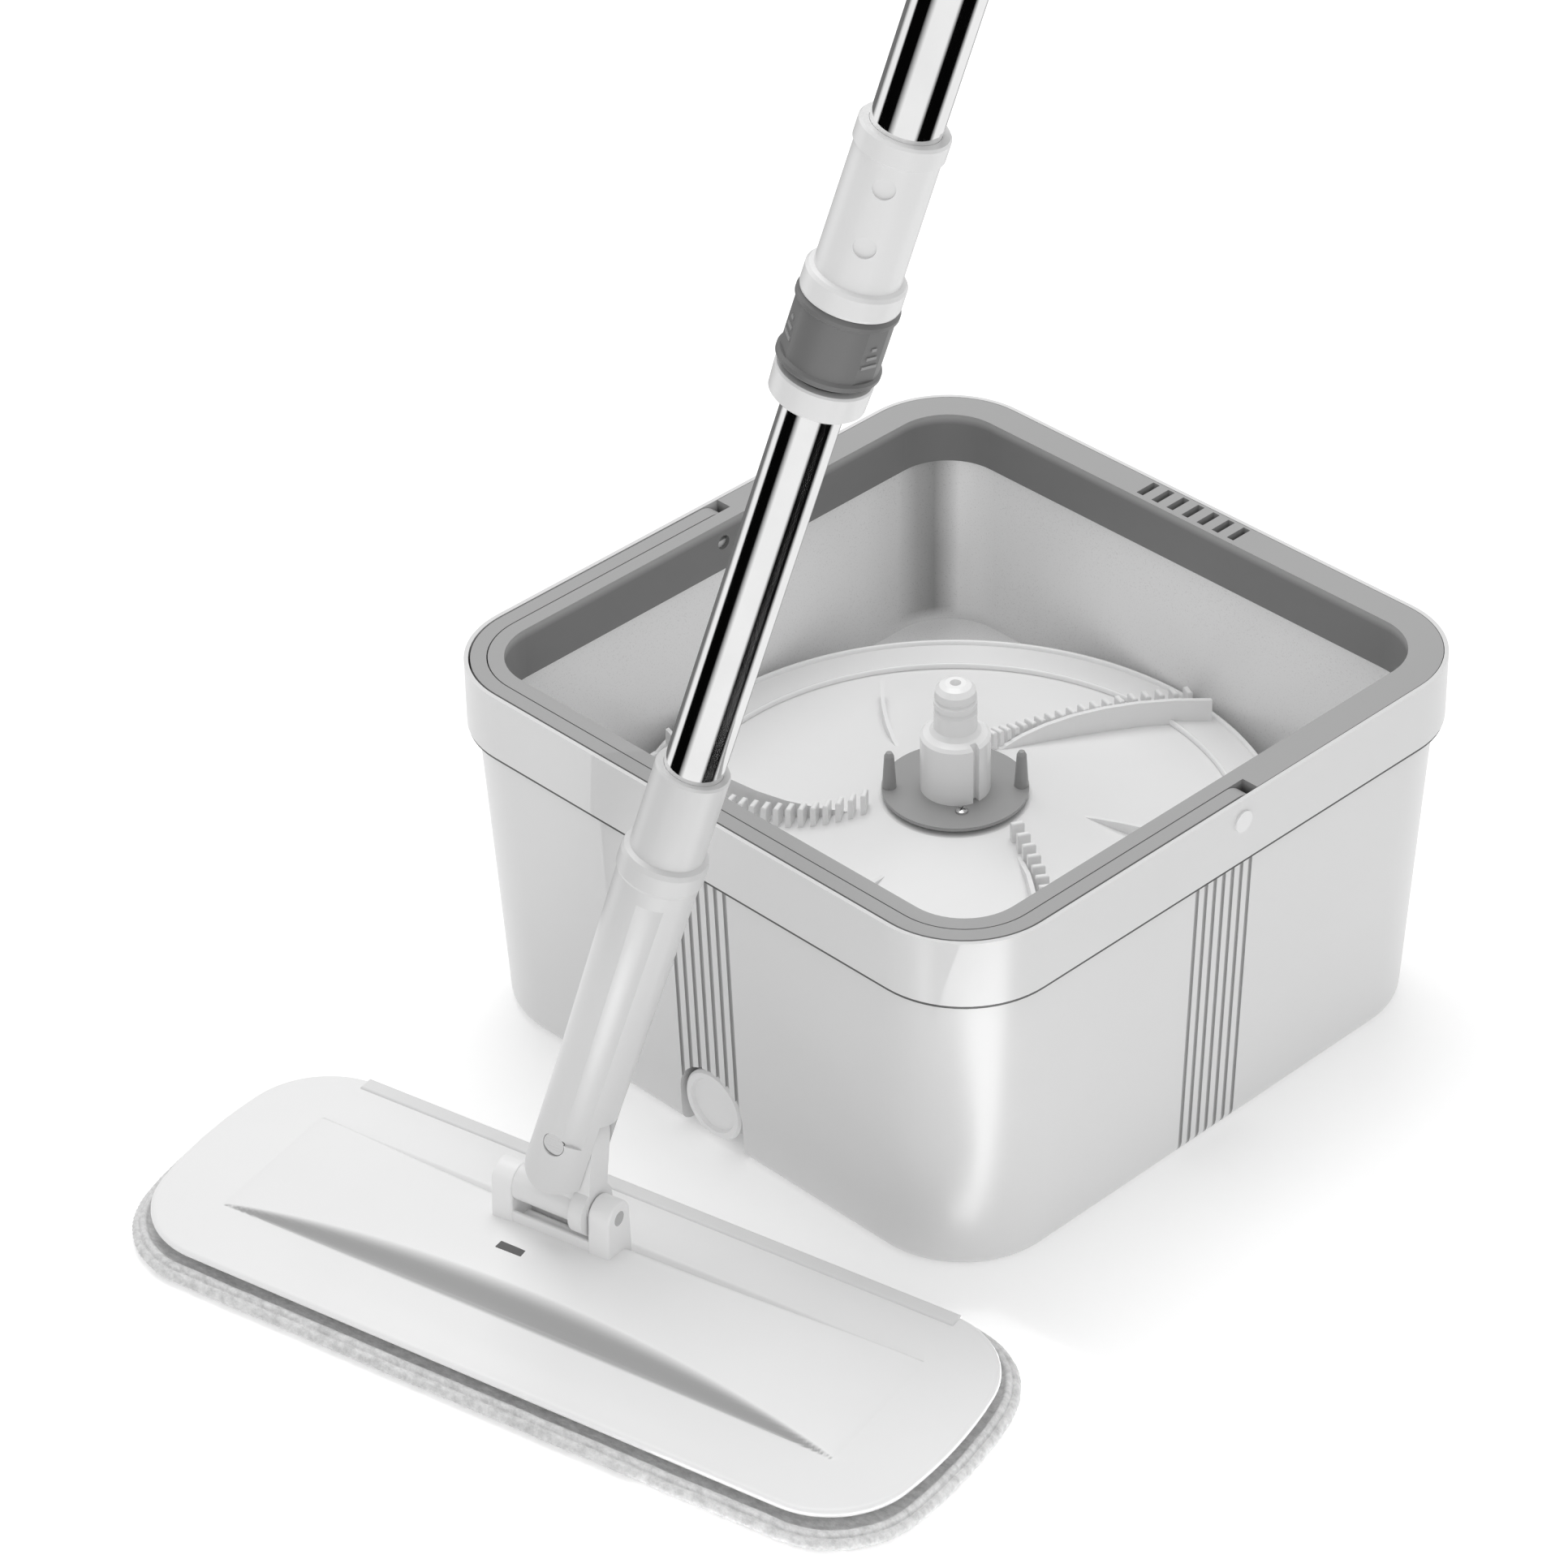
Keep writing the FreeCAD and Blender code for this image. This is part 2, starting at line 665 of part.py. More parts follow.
def cloth_pad():
    return head_block(cloth_half, 40, 11, 0, cloth_top)


def hinge_axle():
    return rod(pin_radius, (yoke_x - ear_out, yoke_y, hinge_z), (yoke_x + ear_out, yoke_y, hinge_z))


# ---------------------------------------------------------------- knuckle and pole
def knuckle_block():
    """The cross piece: a barrel on the axle, a round cheek at one end and an upright tongue."""
    barrel = rod(barrel_radius, (-ear_in + loose_gap, 0, 0), (cheek_x[1], 0, 0))
    cheek = rod(cheek_radius, (cheek_x[0], 0, 0), (cheek_x[1], 0, 0))
    tongue = box(tilt_pin_x - crown_radius, tilt_pin_x + crown_radius, -tongue_half, tongue_half, 0,
                 tilt_pin_height)
    crown = rod(crown_radius, (tilt_pin_x, -tongue_half, tilt_pin_height),
                (tilt_pin_x, tongue_half, tilt_pin_height))
    block = barrel.fuse([cheek, tongue, crown])
    bores = [rod(pin_radius + running_gap, (-40, 0, 0), (40, 0, 0)),
             rod(pin_radius + running_gap, (tilt_pin_x, -40, tilt_pin_height), (tilt_pin_x, 40, tilt_pin_height))]
    return block.cut(bores).removeSplitter()


def tilt_pin():
    """The pin across the fork, in the pole's frame."""
    shank = rod(pin_radius, (0, -13.2, 0), (0, 13.2, 0))
    heads = [rod(4.4, (0, side * 12.2, 0), (0, side * 13.2, 0)) for side in (-1, 1)]
    return shank.fuse(heads).removeSplitter()


def pole_socket():
    low = turned([(0, socket_bottom), (14.0, socket_bottom), (14.0, 20), (15.4, socket_step[0]),
                  (0, socket_step[0])])
    ring = turned([(0, socket_step[0]), (15.4, socket_step[0]), (16.2, socket_step[0] + 1.5),
                   (16.2, socket_step[1] - 3), (15.6, socket_step[1] - 1), (13.8, socket_step[1]),
                   (13.8, socket_top - 1), (13.2, socket_top), (0, socket_top)])
    sleeve = low.fuse(ring)
    round_end = rod(-socket_bottom, (0, -30, 0), (0, 30, 0))
    below = box(-30, 30, -30, 30, socket_bottom - 1, 0)
    sleeve = sleeve.cut(below.cut(round_end))
    flute = rod(flute_radius, around(flute_angle, 24.5, 2), around(flute_angle, 25.4, 116))
    slot = box(-40, 40, -tongue_half - loose_gap, tongue_half + loose_gap, socket_bottom - 1, 13)
    cuts = [flute, slot, rod(lower_tube_r + running_gap, (0, 0, lower_tube_z[0] - 0.2), (0, 0, socket_top + 1)),
            rod(pin_radius + running_gap, (0, -30, 0), (0, 30, 0))]
    for side in (-1, 1):
        cuts.append(rod(4.6, (0, side * 12.0, 0), (0, side * 30, 0)))
    return sleeve.cut(cuts).removeSplitter()


def socket_screw():
    """The screw that holds the tube in its socket, through the socket's back."""
    back = around(face_angle + 180, 1, 0)
    axis_z = Vector(0, 0, 60)
    return rod(1.9, axis_z + back * 8.6, axis_z + back * 15.2)


def lower_tube():
    body = tube(lower_tube_r, lower_tube_r - tube_sheet, *lower_tube_z)
    back = around(face_angle + 180, 1, 0)
    return body.cut(rod(1.95, Vector(0, 0, 60), Vector(0, 0, 60) + back * 16))


def pole_socket_drilled():
    back = around(face_angle + 180, 1, 0)
    return pole_socket().cut(rod(1.95, Vector(0, 0, 60) + back * 8, Vector(0, 0, 60) + back * 30))


def nut_housing():
    bore = lower_tube_r - tube_sheet - running_gap
    top = lower_tube_z[1]
    return turned([(6.6, 676), (bore, 676), (bore, top + 0.1), (lower_tube_r, top + 0.1), (lower_tube_r, top + 2.5),
                   (8.8, top + 2.5), (8.8, nut_z[0] - 0.3), (6.6, nut_z[0] - 0.3)])


def nut_retainer():
    top = lower_tube_z[1]
    return tube(8.75, 6.6, nut_z[1] + 0.3, top + 2.5)


def twisted_bar(width, depth, z0, z1):
    """A flat bar twisted about Z, one full turn in each lead, its flat side along X at height 0."""
    step = rod_lead / 24
    count = int(round((z1 - z0) / step))
    wires = []
    for number in range(count + 1):
        z = z0 + (z1 - z0) * number / count
        turn = Rotation(Z_AXIS, 360 * z / rod_lead)
        corners = [Vector(sx * width / 2, sy * depth / 2, z) for sx, sy in ((-1, -1), (1, -1), (1, 1), (-1, 1))]
        corners = [turn.multVec(p) for p in corners]
        wires.append(Part.makePolygon(corners + corners[:1]))
    return Part.makeLoft(wires, True, True)


def twisted_rod():
    return twisted_bar(*rod_section, *rod_z)


def drive_nut():
    width, depth = rod_section
    body = rod(8.6, (0, 0, nut_z[0]), (0, 0, nut_z[1]))
    return body.cut(twisted_bar(width + 2 * nut_gap, depth + 2 * nut_gap, nut_z[0] - 2.0, nut_z[1] + 2.0))


def rod_anchor():
    body = rod(upper_tube_r - tube_sheet - running_gap, (0, 0, 1040), (0, 0, 1064))
    width, depth = rod_section
    return body.cut(twisted_bar(width + 0.2, depth + 0.2, 1035, rod_z[1] + 0.2))


def upper_tube():
    return tube(upper_tube_r, upper_tube_r - tube_sheet, *upper_tube_z)


def clamp_bush():
    """The split collet under the lock ring, with a thread ridge that shows below the ring."""
    bore = lower_tube_r + 0.06
    low = end_ring_z[1] - 2.3
    ridge = end_ring_z[1]
    shoulder = lock_z[1] + 0.2
    top = upper_tube_z[0] - 0.5
    body = turned([(bore, low), (13.4, low), (13.4, ridge + 0.7), (14.3, ridge + 1.1), (14.3, ridge + 1.7),
                   (13.4, ridge + 2.1), (14.2, ridge + 3.5), (14.2, shoulder), (upper_tube_r, shoulder),
                   (upper_tube_r, top), (bore, top)])
    slits = []
    for side in (-1, 1):
        start, end = sorted((side * 10, side * 13))
        slits.append(box(start, end, -0.6, 0.6, lock_z[0] + 9, lock_z[1] - 1.4))
    return body.cut(slits)


def end_ring():
    low, high = end_ring_z
    return turned([(lower_tube_r + loose_gap, low), (15.6, low), (17, low + 1.2), (17.4, high - 0.8), (16.8, high),
                   (13.45, high), (13.45, low + 8.5), (lower_tube_r + loose_gap, low + 8.5)])


def lock_ring():
    low, high = lock_z
    body = turned([(14.6, low), (17.2, low), (18.4, low + 1.2), (18.4, low + 2.6), (17.3, low + 3.6),
                   (17.3, high - 3.6), (18.2, high - 2.6), (18.2, high - 1.2), (17, high), (14.6, high)])
    flat = box(16.7, 25, -7, 7, low + 3.4, high - 3.4)
    flats = []
    for turn in (38, 158, 278):
        flats.append(placed(flat, Placement(Vector(), Rotation(Z_AXIS, face_angle + turn))))
    return body.cut(flats).removeSplitter()


def collar_sleeve():
    low, high = sleeve_z
    body = turned([(upper_tube_r + running_gap, low), (17.4, low), (17.7, low + 1), (17.7, low + 8),
                   (16.8, low + 9.2), (15.2, low + 9.8), (15.0, high - 8.6), (15.9, high - 8), (15.9, high - 1),
                   (15.2, high), (upper_tube_r + running_gap, high)])
    dimples = []
    for z in dimple_z:
        dimples.append(rod(4.0, around(face_angle - 15, 14.0, z), around(face_angle - 15, 25, z)))
    return body.cut(dimples).removeSplitter()


def hand_grip():
    low, high = grip_z
    profile = [(upper_tube_r + running_gap, low), (14.6, low), (15.6, low + 2)]
    for number in range(8):
        groove = low + 14 + number * 11
        profile += [(15.8, groove - 1.5), (15.0, groove), (15.8, groove + 1.5)]
    profile += [(15.6, high - 2), (14.6, high), (upper_tube_r + running_gap, high)]
    return turned(profile)


def hanging_cap():
    top = upper_tube_z[1]
    plug = turned([(0, 1070), (11.4, 1070), (11.4, top + 0.1), (12.4, top + 0.1), (12.4, grip_z[1] + 0.2),
                   (15.2, grip_z[1] + 0.2), (15.2, grip_z[1] + 10), (13, grip_z[1] + 14), (0, grip_z[1] + 14)])
    tab_top = grip_z[1] + 34
    tab = box(-11, 11, -4, 4, grip_z[1] + 8, tab_top)
    tab = tab.fuse(rod(11, (0, -4, tab_top), (0, 4, tab_top)))
    hole = rod(6, (0, -20, tab_top - 2), (0, 20, tab_top - 2))
    return plug.fuse(tab).cut(hole).removeSplitter()


# ---------------------------------------------------------------- nodes
def main():
    os.makedirs("parts", exist_ok=True)
    bucket_nodes = {
        "outer_bucket": outer_bucket, "handle_pivot_pins": handle_pivot_pins, "rim_ring": rim_ring,
        "carry_handle": carry_handle, "inner_basin": inner_basin, "wash_tray": wash_tray,
        "tank_divider": tank_divider, "bearing_housing": bearing_housing, "hub_bearings": hub_bearings,
        "housing_screws": housing_screws, "rotor_flange": rotor_flange, "drive_pins": drive_pins,
        "flange_screws": flange_screws, "spindle_post": spindle_post, "post_cap": post_cap,
        "spindle_shaft": spindle_shaft, "pump_impeller": pump_impeller, "shaft_clip": shaft_clip,
        "pump_housing": pump_housing, "pump_cover": pump_cover, "drain_socket": drain_socket,
        "drain_plug": drain_plug, "drain_seal": drain_seal}
    head_nodes = {
        "head_plate": head_plate, "rear_edge_strip": rear_edge_strip, "base_plate": base_plate,
        "plate_screws": plate_screws, "hook_strips": hook_strips, "cloth_pad": cloth_pad,
        "hinge_axle": hinge_axle}
    pole_nodes = {
        "tilt_pin": tilt_pin, "pole_socket": pole_socket_drilled, "socket_screw": socket_screw,
        "lower_tube": lower_tube, "nut_housing": nut_housing, "nut_retainer": nut_retainer,
        "drive_nut": drive_nut, "twisted_rod": twisted_rod, "rod_anchor": rod_anchor,
        "upper_tube": upper_tube, "clamp_bush": clamp_bush, "end_ring": end_ring, "lock_ring": lock_ring,
        "collar_sleeve": collar_sleeve, "hand_grip": hand_grip, "hanging_cap": hanging_cap}
    shapes = {name: make() for name, make in bucket_nodes.items()}
    shapes.update({name: placed(make(), head_frame) for name, make in head_nodes.items()})
    shapes["knuckle_block"] = placed(knuckle_block(), knuckle_frame)
    shapes.update({name: placed(make(), pole_frame) for name, make in pole_nodes.items()})
    for name, shape in shapes.items():
        print(name, "valid" if shape.isValid() else "INVALID", len(shape.Solids), round(shape.Volume))
        shape.exportStep("parts/" + name + ".step")
    axis = pole_frame.Rotation.multVec(Z_AXIS)
    print("hinge point", knuckle_frame.Base, "pin point", pole_frame.Base, "pole axis", axis)


main()
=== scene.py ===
import json
import math
import random

import bmesh
import bpy
from mathutils import Matrix, Vector, noise

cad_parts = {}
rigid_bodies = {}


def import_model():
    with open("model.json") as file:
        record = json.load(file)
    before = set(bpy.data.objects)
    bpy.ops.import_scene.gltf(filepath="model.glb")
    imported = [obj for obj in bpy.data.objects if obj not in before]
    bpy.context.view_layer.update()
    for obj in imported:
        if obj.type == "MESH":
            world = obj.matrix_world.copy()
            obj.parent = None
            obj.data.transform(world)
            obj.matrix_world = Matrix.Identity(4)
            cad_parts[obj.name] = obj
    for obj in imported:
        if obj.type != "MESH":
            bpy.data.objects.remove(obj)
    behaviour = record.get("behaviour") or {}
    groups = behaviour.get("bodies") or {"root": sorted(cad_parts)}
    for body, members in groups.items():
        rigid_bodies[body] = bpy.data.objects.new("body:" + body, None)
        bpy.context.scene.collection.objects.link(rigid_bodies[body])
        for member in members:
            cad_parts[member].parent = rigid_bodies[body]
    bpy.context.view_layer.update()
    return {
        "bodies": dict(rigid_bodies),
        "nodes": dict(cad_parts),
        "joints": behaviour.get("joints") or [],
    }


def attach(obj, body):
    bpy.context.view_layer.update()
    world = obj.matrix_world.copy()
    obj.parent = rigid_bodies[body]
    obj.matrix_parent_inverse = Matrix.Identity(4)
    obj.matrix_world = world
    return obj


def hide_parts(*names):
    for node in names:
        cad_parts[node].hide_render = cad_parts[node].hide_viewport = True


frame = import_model()
random.seed(7)

MM = 0.001
NODES = frame["nodes"]
BODIES = frame["bodies"]
JOINTS = {joint["name"]: joint for joint in frame["joints"]}
Z_AXIS = Vector((0, 0, 1))

# ---------------------------------------------------------------- places, from the frame
HINGE_POINT = Vector(JOINTS["head_hinge"]["pos_m"])
HEAD_ALONG = Vector(JOINTS["head_hinge"]["axis"]).normalized()
HEAD_ACROSS = Z_AXIS.cross(HEAD_ALONG)
YOKE_ALONG, YOKE_ACROSS = -14.0, 17.0
HEAD_CENTRE = HINGE_POINT - (HEAD_ALONG * YOKE_ALONG + HEAD_ACROSS * YOKE_ACROSS) * MM
HEAD_CENTRE.z = 0.0
PIN_POINT = Vector(JOINTS["pole_tilt"]["pos_m"])
POLE_AXIS = Vector(JOINTS["pole_slide"]["axis"]).normalized()
PIN_AXIS = Vector(JOINTS["pole_tilt"]["axis"]).normalized()


def frame_matrix(origin, x_axis, y_axis, z_axis):
    """A frame as a matrix, from its origin and its three axes."""
    turn = Matrix((x_axis, y_axis, z_axis)).transposed().to_4x4()
    return Matrix.Translation(origin) @ turn


HEAD_FRAME = frame_matrix(HEAD_CENTRE, HEAD_ALONG, HEAD_ACROSS, Z_AXIS)
POLE_FRAME = frame_matrix(PIN_POINT, PIN_AXIS.cross(POLE_AXIS), PIN_AXIS, POLE_AXIS)

# ---------------------------------------------------------------- camera
CAMERA_PLACE = Vector((1.2628, -1.31804, 1.37879))
CAMERA_YAW = math.radians(45.866)
CAMERA_PITCH = math.radians(35.055)
CAMERA_ROLL = math.radians(-1.058)
CAMERA_LENS = 131.54


def add_camera():
    data = bpy.data.cameras.new("camera")
    data.lens = CAMERA_LENS
    data.sensor_width = 36.0
    data.clip_start = 0.05
    data.clip_end = 120.0
    camera = bpy.data.objects.new("camera", data)
    bpy.context.scene.collection.objects.link(camera)
    turn = Matrix.Rotation(CAMERA_YAW, 4, "Z") @ Matrix.Rotation(math.pi / 2 - CAMERA_PITCH, 4, "X")
    turn = turn @ Matrix.Rotation(CAMERA_ROLL, 4, "Z")
    camera.matrix_world = Matrix.Translation(CAMERA_PLACE) @ turn
    bpy.context.scene.camera = camera
    return camera


# ---------------------------------------------------------------- material helpers
def linear(level):
    """A display level of 0 to 255 as linear light."""
    share = level / 255
    return share / 12.92 if share <= 0.04045 else ((share + 0.055) / 1.055) ** 2.4


def grey(level, tint=(1.0, 1.0, 1.0)):
    value = linear(level)
    return (value * tint[0], value * tint[1], value * tint[2], 1.0)


class Shader:
    """A node material that is built one node at a time."""

    def __init__(self, name):
        self.material = bpy.data.materials.new(name)
        self.material.use_nodes = True
        self.tree = self.material.node_tree
        self.surface = self.tree.nodes["Principled BSDF"]
        self.place = self.add("ShaderNodeTexCoord").outputs["Object"]

    def add(self, kind, **settings):
        node = self.tree.nodes.new(kind)
        for key, value in settings.items():
            setattr(node, key, value)
        return node

    def link(self, source, target):
        self.tree.links.new(source, target)

    def noise(self, scale, detail=2.0, roughness=0.5, stretch=None):
        node = self.add("ShaderNodeTexNoise")
        node.inputs["Scale"].default_value = scale
        node.inputs["Detail"].default_value = detail
        node.inputs["Roughness"].default_value = roughness
        place = self.place
        if stretch:
            mapping = self.add("ShaderNodeMapping")
            mapping.inputs["Scale"].default_value = stretch
            self.link(self.place, mapping.inputs["Vector"])
            place = mapping.outputs["Vector"]
        self.link(place, node.inputs["Vector"])
        return node.outputs["Fac"]

    def ramp(self, source, stops):
        node = self.add("ShaderNodeValToRGB")
        elements = node.color_ramp.elements
        while len(elements) < len(stops):
            elements.new(0.5)
        for element, (place, color) in zip(elements, stops):
            element.position = place
            element.color = color
        self.link(source, node.inputs["Fac"])
        return node.outputs["Color"]

    def spread(self, source, low, high, start=0.3, end=0.7):
        node = self.add("ShaderNodeMapRange")
        node.inputs["From Min"].default_value = start
        node.inputs["From Max"].default_value = end
        node.inputs["To Min"].default_value = low
        node.inputs["To Max"].default_value = high
        self.link(source, node.inputs["Value"])
        return node.outputs["Result"]

    def bump(self, height, strength, distance, below=None):
        node = self.add("ShaderNodeBump")
        node.inputs["Strength"].default_value = strength
        node.inputs["Distance"].default_value = distance
        self.link(height, node.inputs["Height"])
        if below is not None:
            self.link(below, node.inputs["Normal"])
        return node.outputs["Normal"]

    def set(self, **values):
        for key, value in values.items():
            self.surface.inputs[key.replace("_", " ").title().replace("Ior", "IOR")].default_value = value


def plastic(name, level, rough=0.32, drift=1.2, grain=1400.0, grain_depth=0.02, tint=(1.0, 1.0, 1.0)):
    """Moulded plastic: a slight drift of shade, uneven gloss and a fine mould texture."""
    shader = Shader(name)
    clouds = shader.noise(9.0, 4.0)
    darker = grey(level - drift, tint)
    lighter = grey(min(255, level + drift), tint)
    color = shader.ramp(clouds, [(0.35, darker), (0.65, lighter)])
    shader.link(color, shader.surface.inputs["Base Color"])
    smears = shader.noise(38.0, 5.0, 0.6)
    shader.link(shader.spread(smears, rough * 0.97, rough * 1.04), shader.surface.inputs["Roughness"])
    skin = shader.noise(grain, 2.0)
    flow = shader.noise(26.0, 1.0)
    normal = shader.bump(flow, 0.02, 0.05 * MM)
    shader.link(shader.bump(skin, 0.12, grain_depth * MM, normal), shader.surface.inputs["Normal"])
    return shader.material


def metal(name, level, rough=0.22, lines=(2.0, 2.0, 160.0), drift=8):
    """Machined or drawn metal with fine lines across it."""
    shader = Shader(name)
    streaks = shader.noise(60.0, 4.0, 0.6, stretch=lines)
    color = shader.ramp(streaks, [(0.3, grey(level - drift)), (0.7, grey(min(255, level + drift)))])
    shader.link(color, shader.surface.inputs["Base Color"])
    shader.surface.inputs["Metallic"].default_value = 1.0
    shader.link(shader.spread(streaks, rough * 0.8, rough * 1.3), shader.surface.inputs["Roughness"])
    shader.link(shader.bump(streaks, 0.08, 0.05 * MM), shader.surface.inputs["Normal"])
    return shader.material


def chrome(name):
    shader = Shader(name)
    smears = shader.noise(30.0, 4.0, 0.6)
    color = shader.ramp(smears, [(0.3, grey(246)), (0.7, grey(254))])
    shader.link(color, shader.surface.inputs["Base Color"])
    shader.surface.inputs["Metallic"].default_value = 1.0
    shader.link(shader.spread(smears, 0.05, 0.09), shader.surface.inputs["Roughness"])
    return shader.material


def rim_with_painted_skirt_shade(name):
    """Satin grey moulding, with painted shade that darkens the skirt under its top faces."""
    material = plastic(name, 166, 0.42)
    tree = material.node_tree
    surface = tree.nodes["Principled BSDF"]
    top_color = surface.inputs["Base Color"].links[0].from_socket
    split = tree.nodes.new("ShaderNodeSeparateXYZ")
    place = next(node for node in tree.nodes if node.type == "TEX_COORD")
    tree.links.new(place.outputs["Object"], split.inputs["Vector"])
    share = tree.nodes.new("ShaderNodeMapRange")
    share.inputs["From Min"].default_value = 155.5 * MM
    share.inputs["From Max"].default_value = 158.5 * MM
    tree.links.new(split.outputs["Z"], share.inputs["Value"])
    # Painted shade: below 155.5 mm the moulding is coloured a darker grey, as if the skirt lay in shadow.
    mix = tree.nodes.new("ShaderNodeMix")
    mix.data_type = "RGBA"
    mix.inputs["A"].default_value = grey(122)
    tree.links.new(share.outputs["Result"], mix.inputs["Factor"])
    tree.links.new(top_color, mix.inputs["B"])
    tree.links.new(mix.outputs["Result"], surface.inputs["Base Color"])
    return material


def head_white_with_painted_scoop_shade(name):
    """White moulding with painted shade that makes it a little greyer on the scooped faces."""
    material = plastic(name, 244, 0.34)
    tree = material.node_tree
    surface = tree.nodes["Principled BSDF"]
    flat_color = surface.inputs["Base Color"].links[0].from_socket
    # Painted shade: grey 178 is mixed in by the scoop attribute on the scooped faces.
    scoop = tree.nodes.new("ShaderNodeAttribute")
    scoop.attribute_name = "scoop"
    mix = tree.nodes.new("ShaderNodeMix")
    mix.data_type = "RGBA"
    mix.inputs["B"].default_value = grey(178)
    tree.links.new(scoop.outputs["Fac"], mix.inputs["Factor"])
    tree.links.new(flat_color, mix.inputs["A"])
    tree.links.new(mix.outputs["Result"], surface.inputs["Base Color"])
    return material


def knit(name):
    """Pale microfibre: a fine bumpy texture, flecks and a soft nap."""
    shader = Shader(name)
    flecks = shader.noise(260.0, 4.0, 0.7, stretch=(1.0, 1.6, 1.0))
    color = shader.ramp(flecks, [(0.3, grey(196)), (0.52, grey(222)), (0.7, grey(238))])
    shader.link(color, shader.surface.inputs["Base Color"])
    shader.surface.inputs["Roughness"].default_value = 0.95
    shader.surface.inputs["Sheen Weight"].default_value = 0.25
    fuzz = shader.noise(1500.0, 3.0, 0.7)
    rows = shader.noise(420.0, 2.0)
    normal = shader.bump(rows, 0.6, 0.7 * MM)
    shader.link(shader.bump(fuzz, 0.5, 0.3 * MM, normal), shader.surface.inputs["Normal"])
    return shader.material


def basin_with_painted_corner_reflection(name):
    """Pale moulded plastic with flakes in it, whose walls darken and brighten round one corner in a painted
    reflection: bands across the line where x + y is zero.
    """
    shader = Shader(name)
    flakes = shader.noise(1700.0, 1.0)
    across = shader.add("ShaderNodeVectorMath", operation="DOT_PRODUCT")
    across.inputs[1].default_value = (1.0, 1.0, 0.0)
    shader.link(shader.place, across.inputs[0])
    wander = shader.spread(shader.noise(7.0, 3.0), -2.0 * MM, 2.0 * MM)
    total = shader.add("ShaderNodeMath", operation="ADD")
    shader.link(across.outputs["Value"], total.inputs[0])
    shader.link(wander, total.inputs[1])
    place = shader.spread(total.outputs["Value"], 0.0, 1.0, -50.0 * MM, 50.0 * MM)
    # Painted reflection: dark and bright bands across the walls, from x + y = -50 mm to 50 mm.
    streaks = [(0.0, 242), (0.2, 230), (0.32, 186), (0.42, 160), (0.5, 212), (0.57, 254), (0.7, 254),
               (0.84, 246), (1.0, 242)]
    painted_wall_reflection = shader.ramp(place, [(share, grey(level)) for share, level in streaks])
    split = shader.add("ShaderNodeSeparateXYZ")
    shader.link(shader.place, split.inputs["Vector"])
    # Below 61 mm, on the floor, the basin keeps a plain grey without the painted reflection.
    mix = shader.add("ShaderNodeMix", data_type="RGBA")
    mix.inputs["A"].default_value = grey(242)
    shader.link(shader.spread(split.outputs["Z"], 0.0, 1.0, 61.0 * MM, 66.0 * MM), mix.inputs["Factor"])
    shader.link(painted_wall_reflection, mix.inputs["B"])
    shader.link(mix.outputs["Result"], shader.surface.inputs["Base Color"])
    shader.surface.inputs["Metallic"].default_value = 0.08
    shader.link(shader.spread(flakes, 0.26, 0.38), shader.surface.inputs["Roughness"])
    shader.link(shader.bump(flakes, 0.18, 0.03 * MM), shader.surface.inputs["Normal"])
    return shader.material


MATERIALS = {
    "white_shell": plastic("white_shell", 222, 0.3),
    "rim_grey": rim_with_painted_skirt_shade("rim_grey"),
    "basin_silver": basin_with_painted_corner_reflection("basin_silver"),
    "tray_grey": plastic("tray_grey", 240, 0.36),
    "flange_grey": plastic("flange_grey", 158, 0.35),
    "post_grey": plastic("post_grey", 246, 0.24),
    "dark": plastic("dark_moulding", 62, 0.4),
    "head_white": head_white_with_painted_scoop_shade("head_white"),
    # Painted shade that stands for the slot in the head.
    "slot_painted_shade": plastic("slot_painted_shade", 96, 0.6),
    # Painted shadow under the bucket's collar.
    "painted_collar_shadow": plastic("painted_collar_shadow", 84, 0.6),
    # Painted shade for the bucket's rib grooves.
    "rib_groove_painted_shade": plastic("rib_groove_painted_shade", 176, 0.4),
    # A lighter white than the tray, as a painted highlight on its lips.
    "tray_lip_painted_highlight": plastic("tray_lip_painted_highlight", 246, 0.24),
    "joint_white": plastic("joint_white", 232, 0.32),
    "sleeve_white": plastic("sleeve_white", 218, 0.3),
    "lock_grey": plastic("lock_grey", 118, 0.38),
    "lock_light": plastic("lock_light", 150, 0.34),
    "collar_white": plastic("collar_white", 236, 0.26),
    "steel": metal("machined_steel", 190),
    "chrome": chrome("polished_tube"),
    "rubber": plastic("seal_rubber", 34, 0.6),
    "cloth": knit("cloth"),
    "hook": plastic("hook_tape", 160, 0.9, drift=14, grain=900.0, grain_depth=0.4),
}
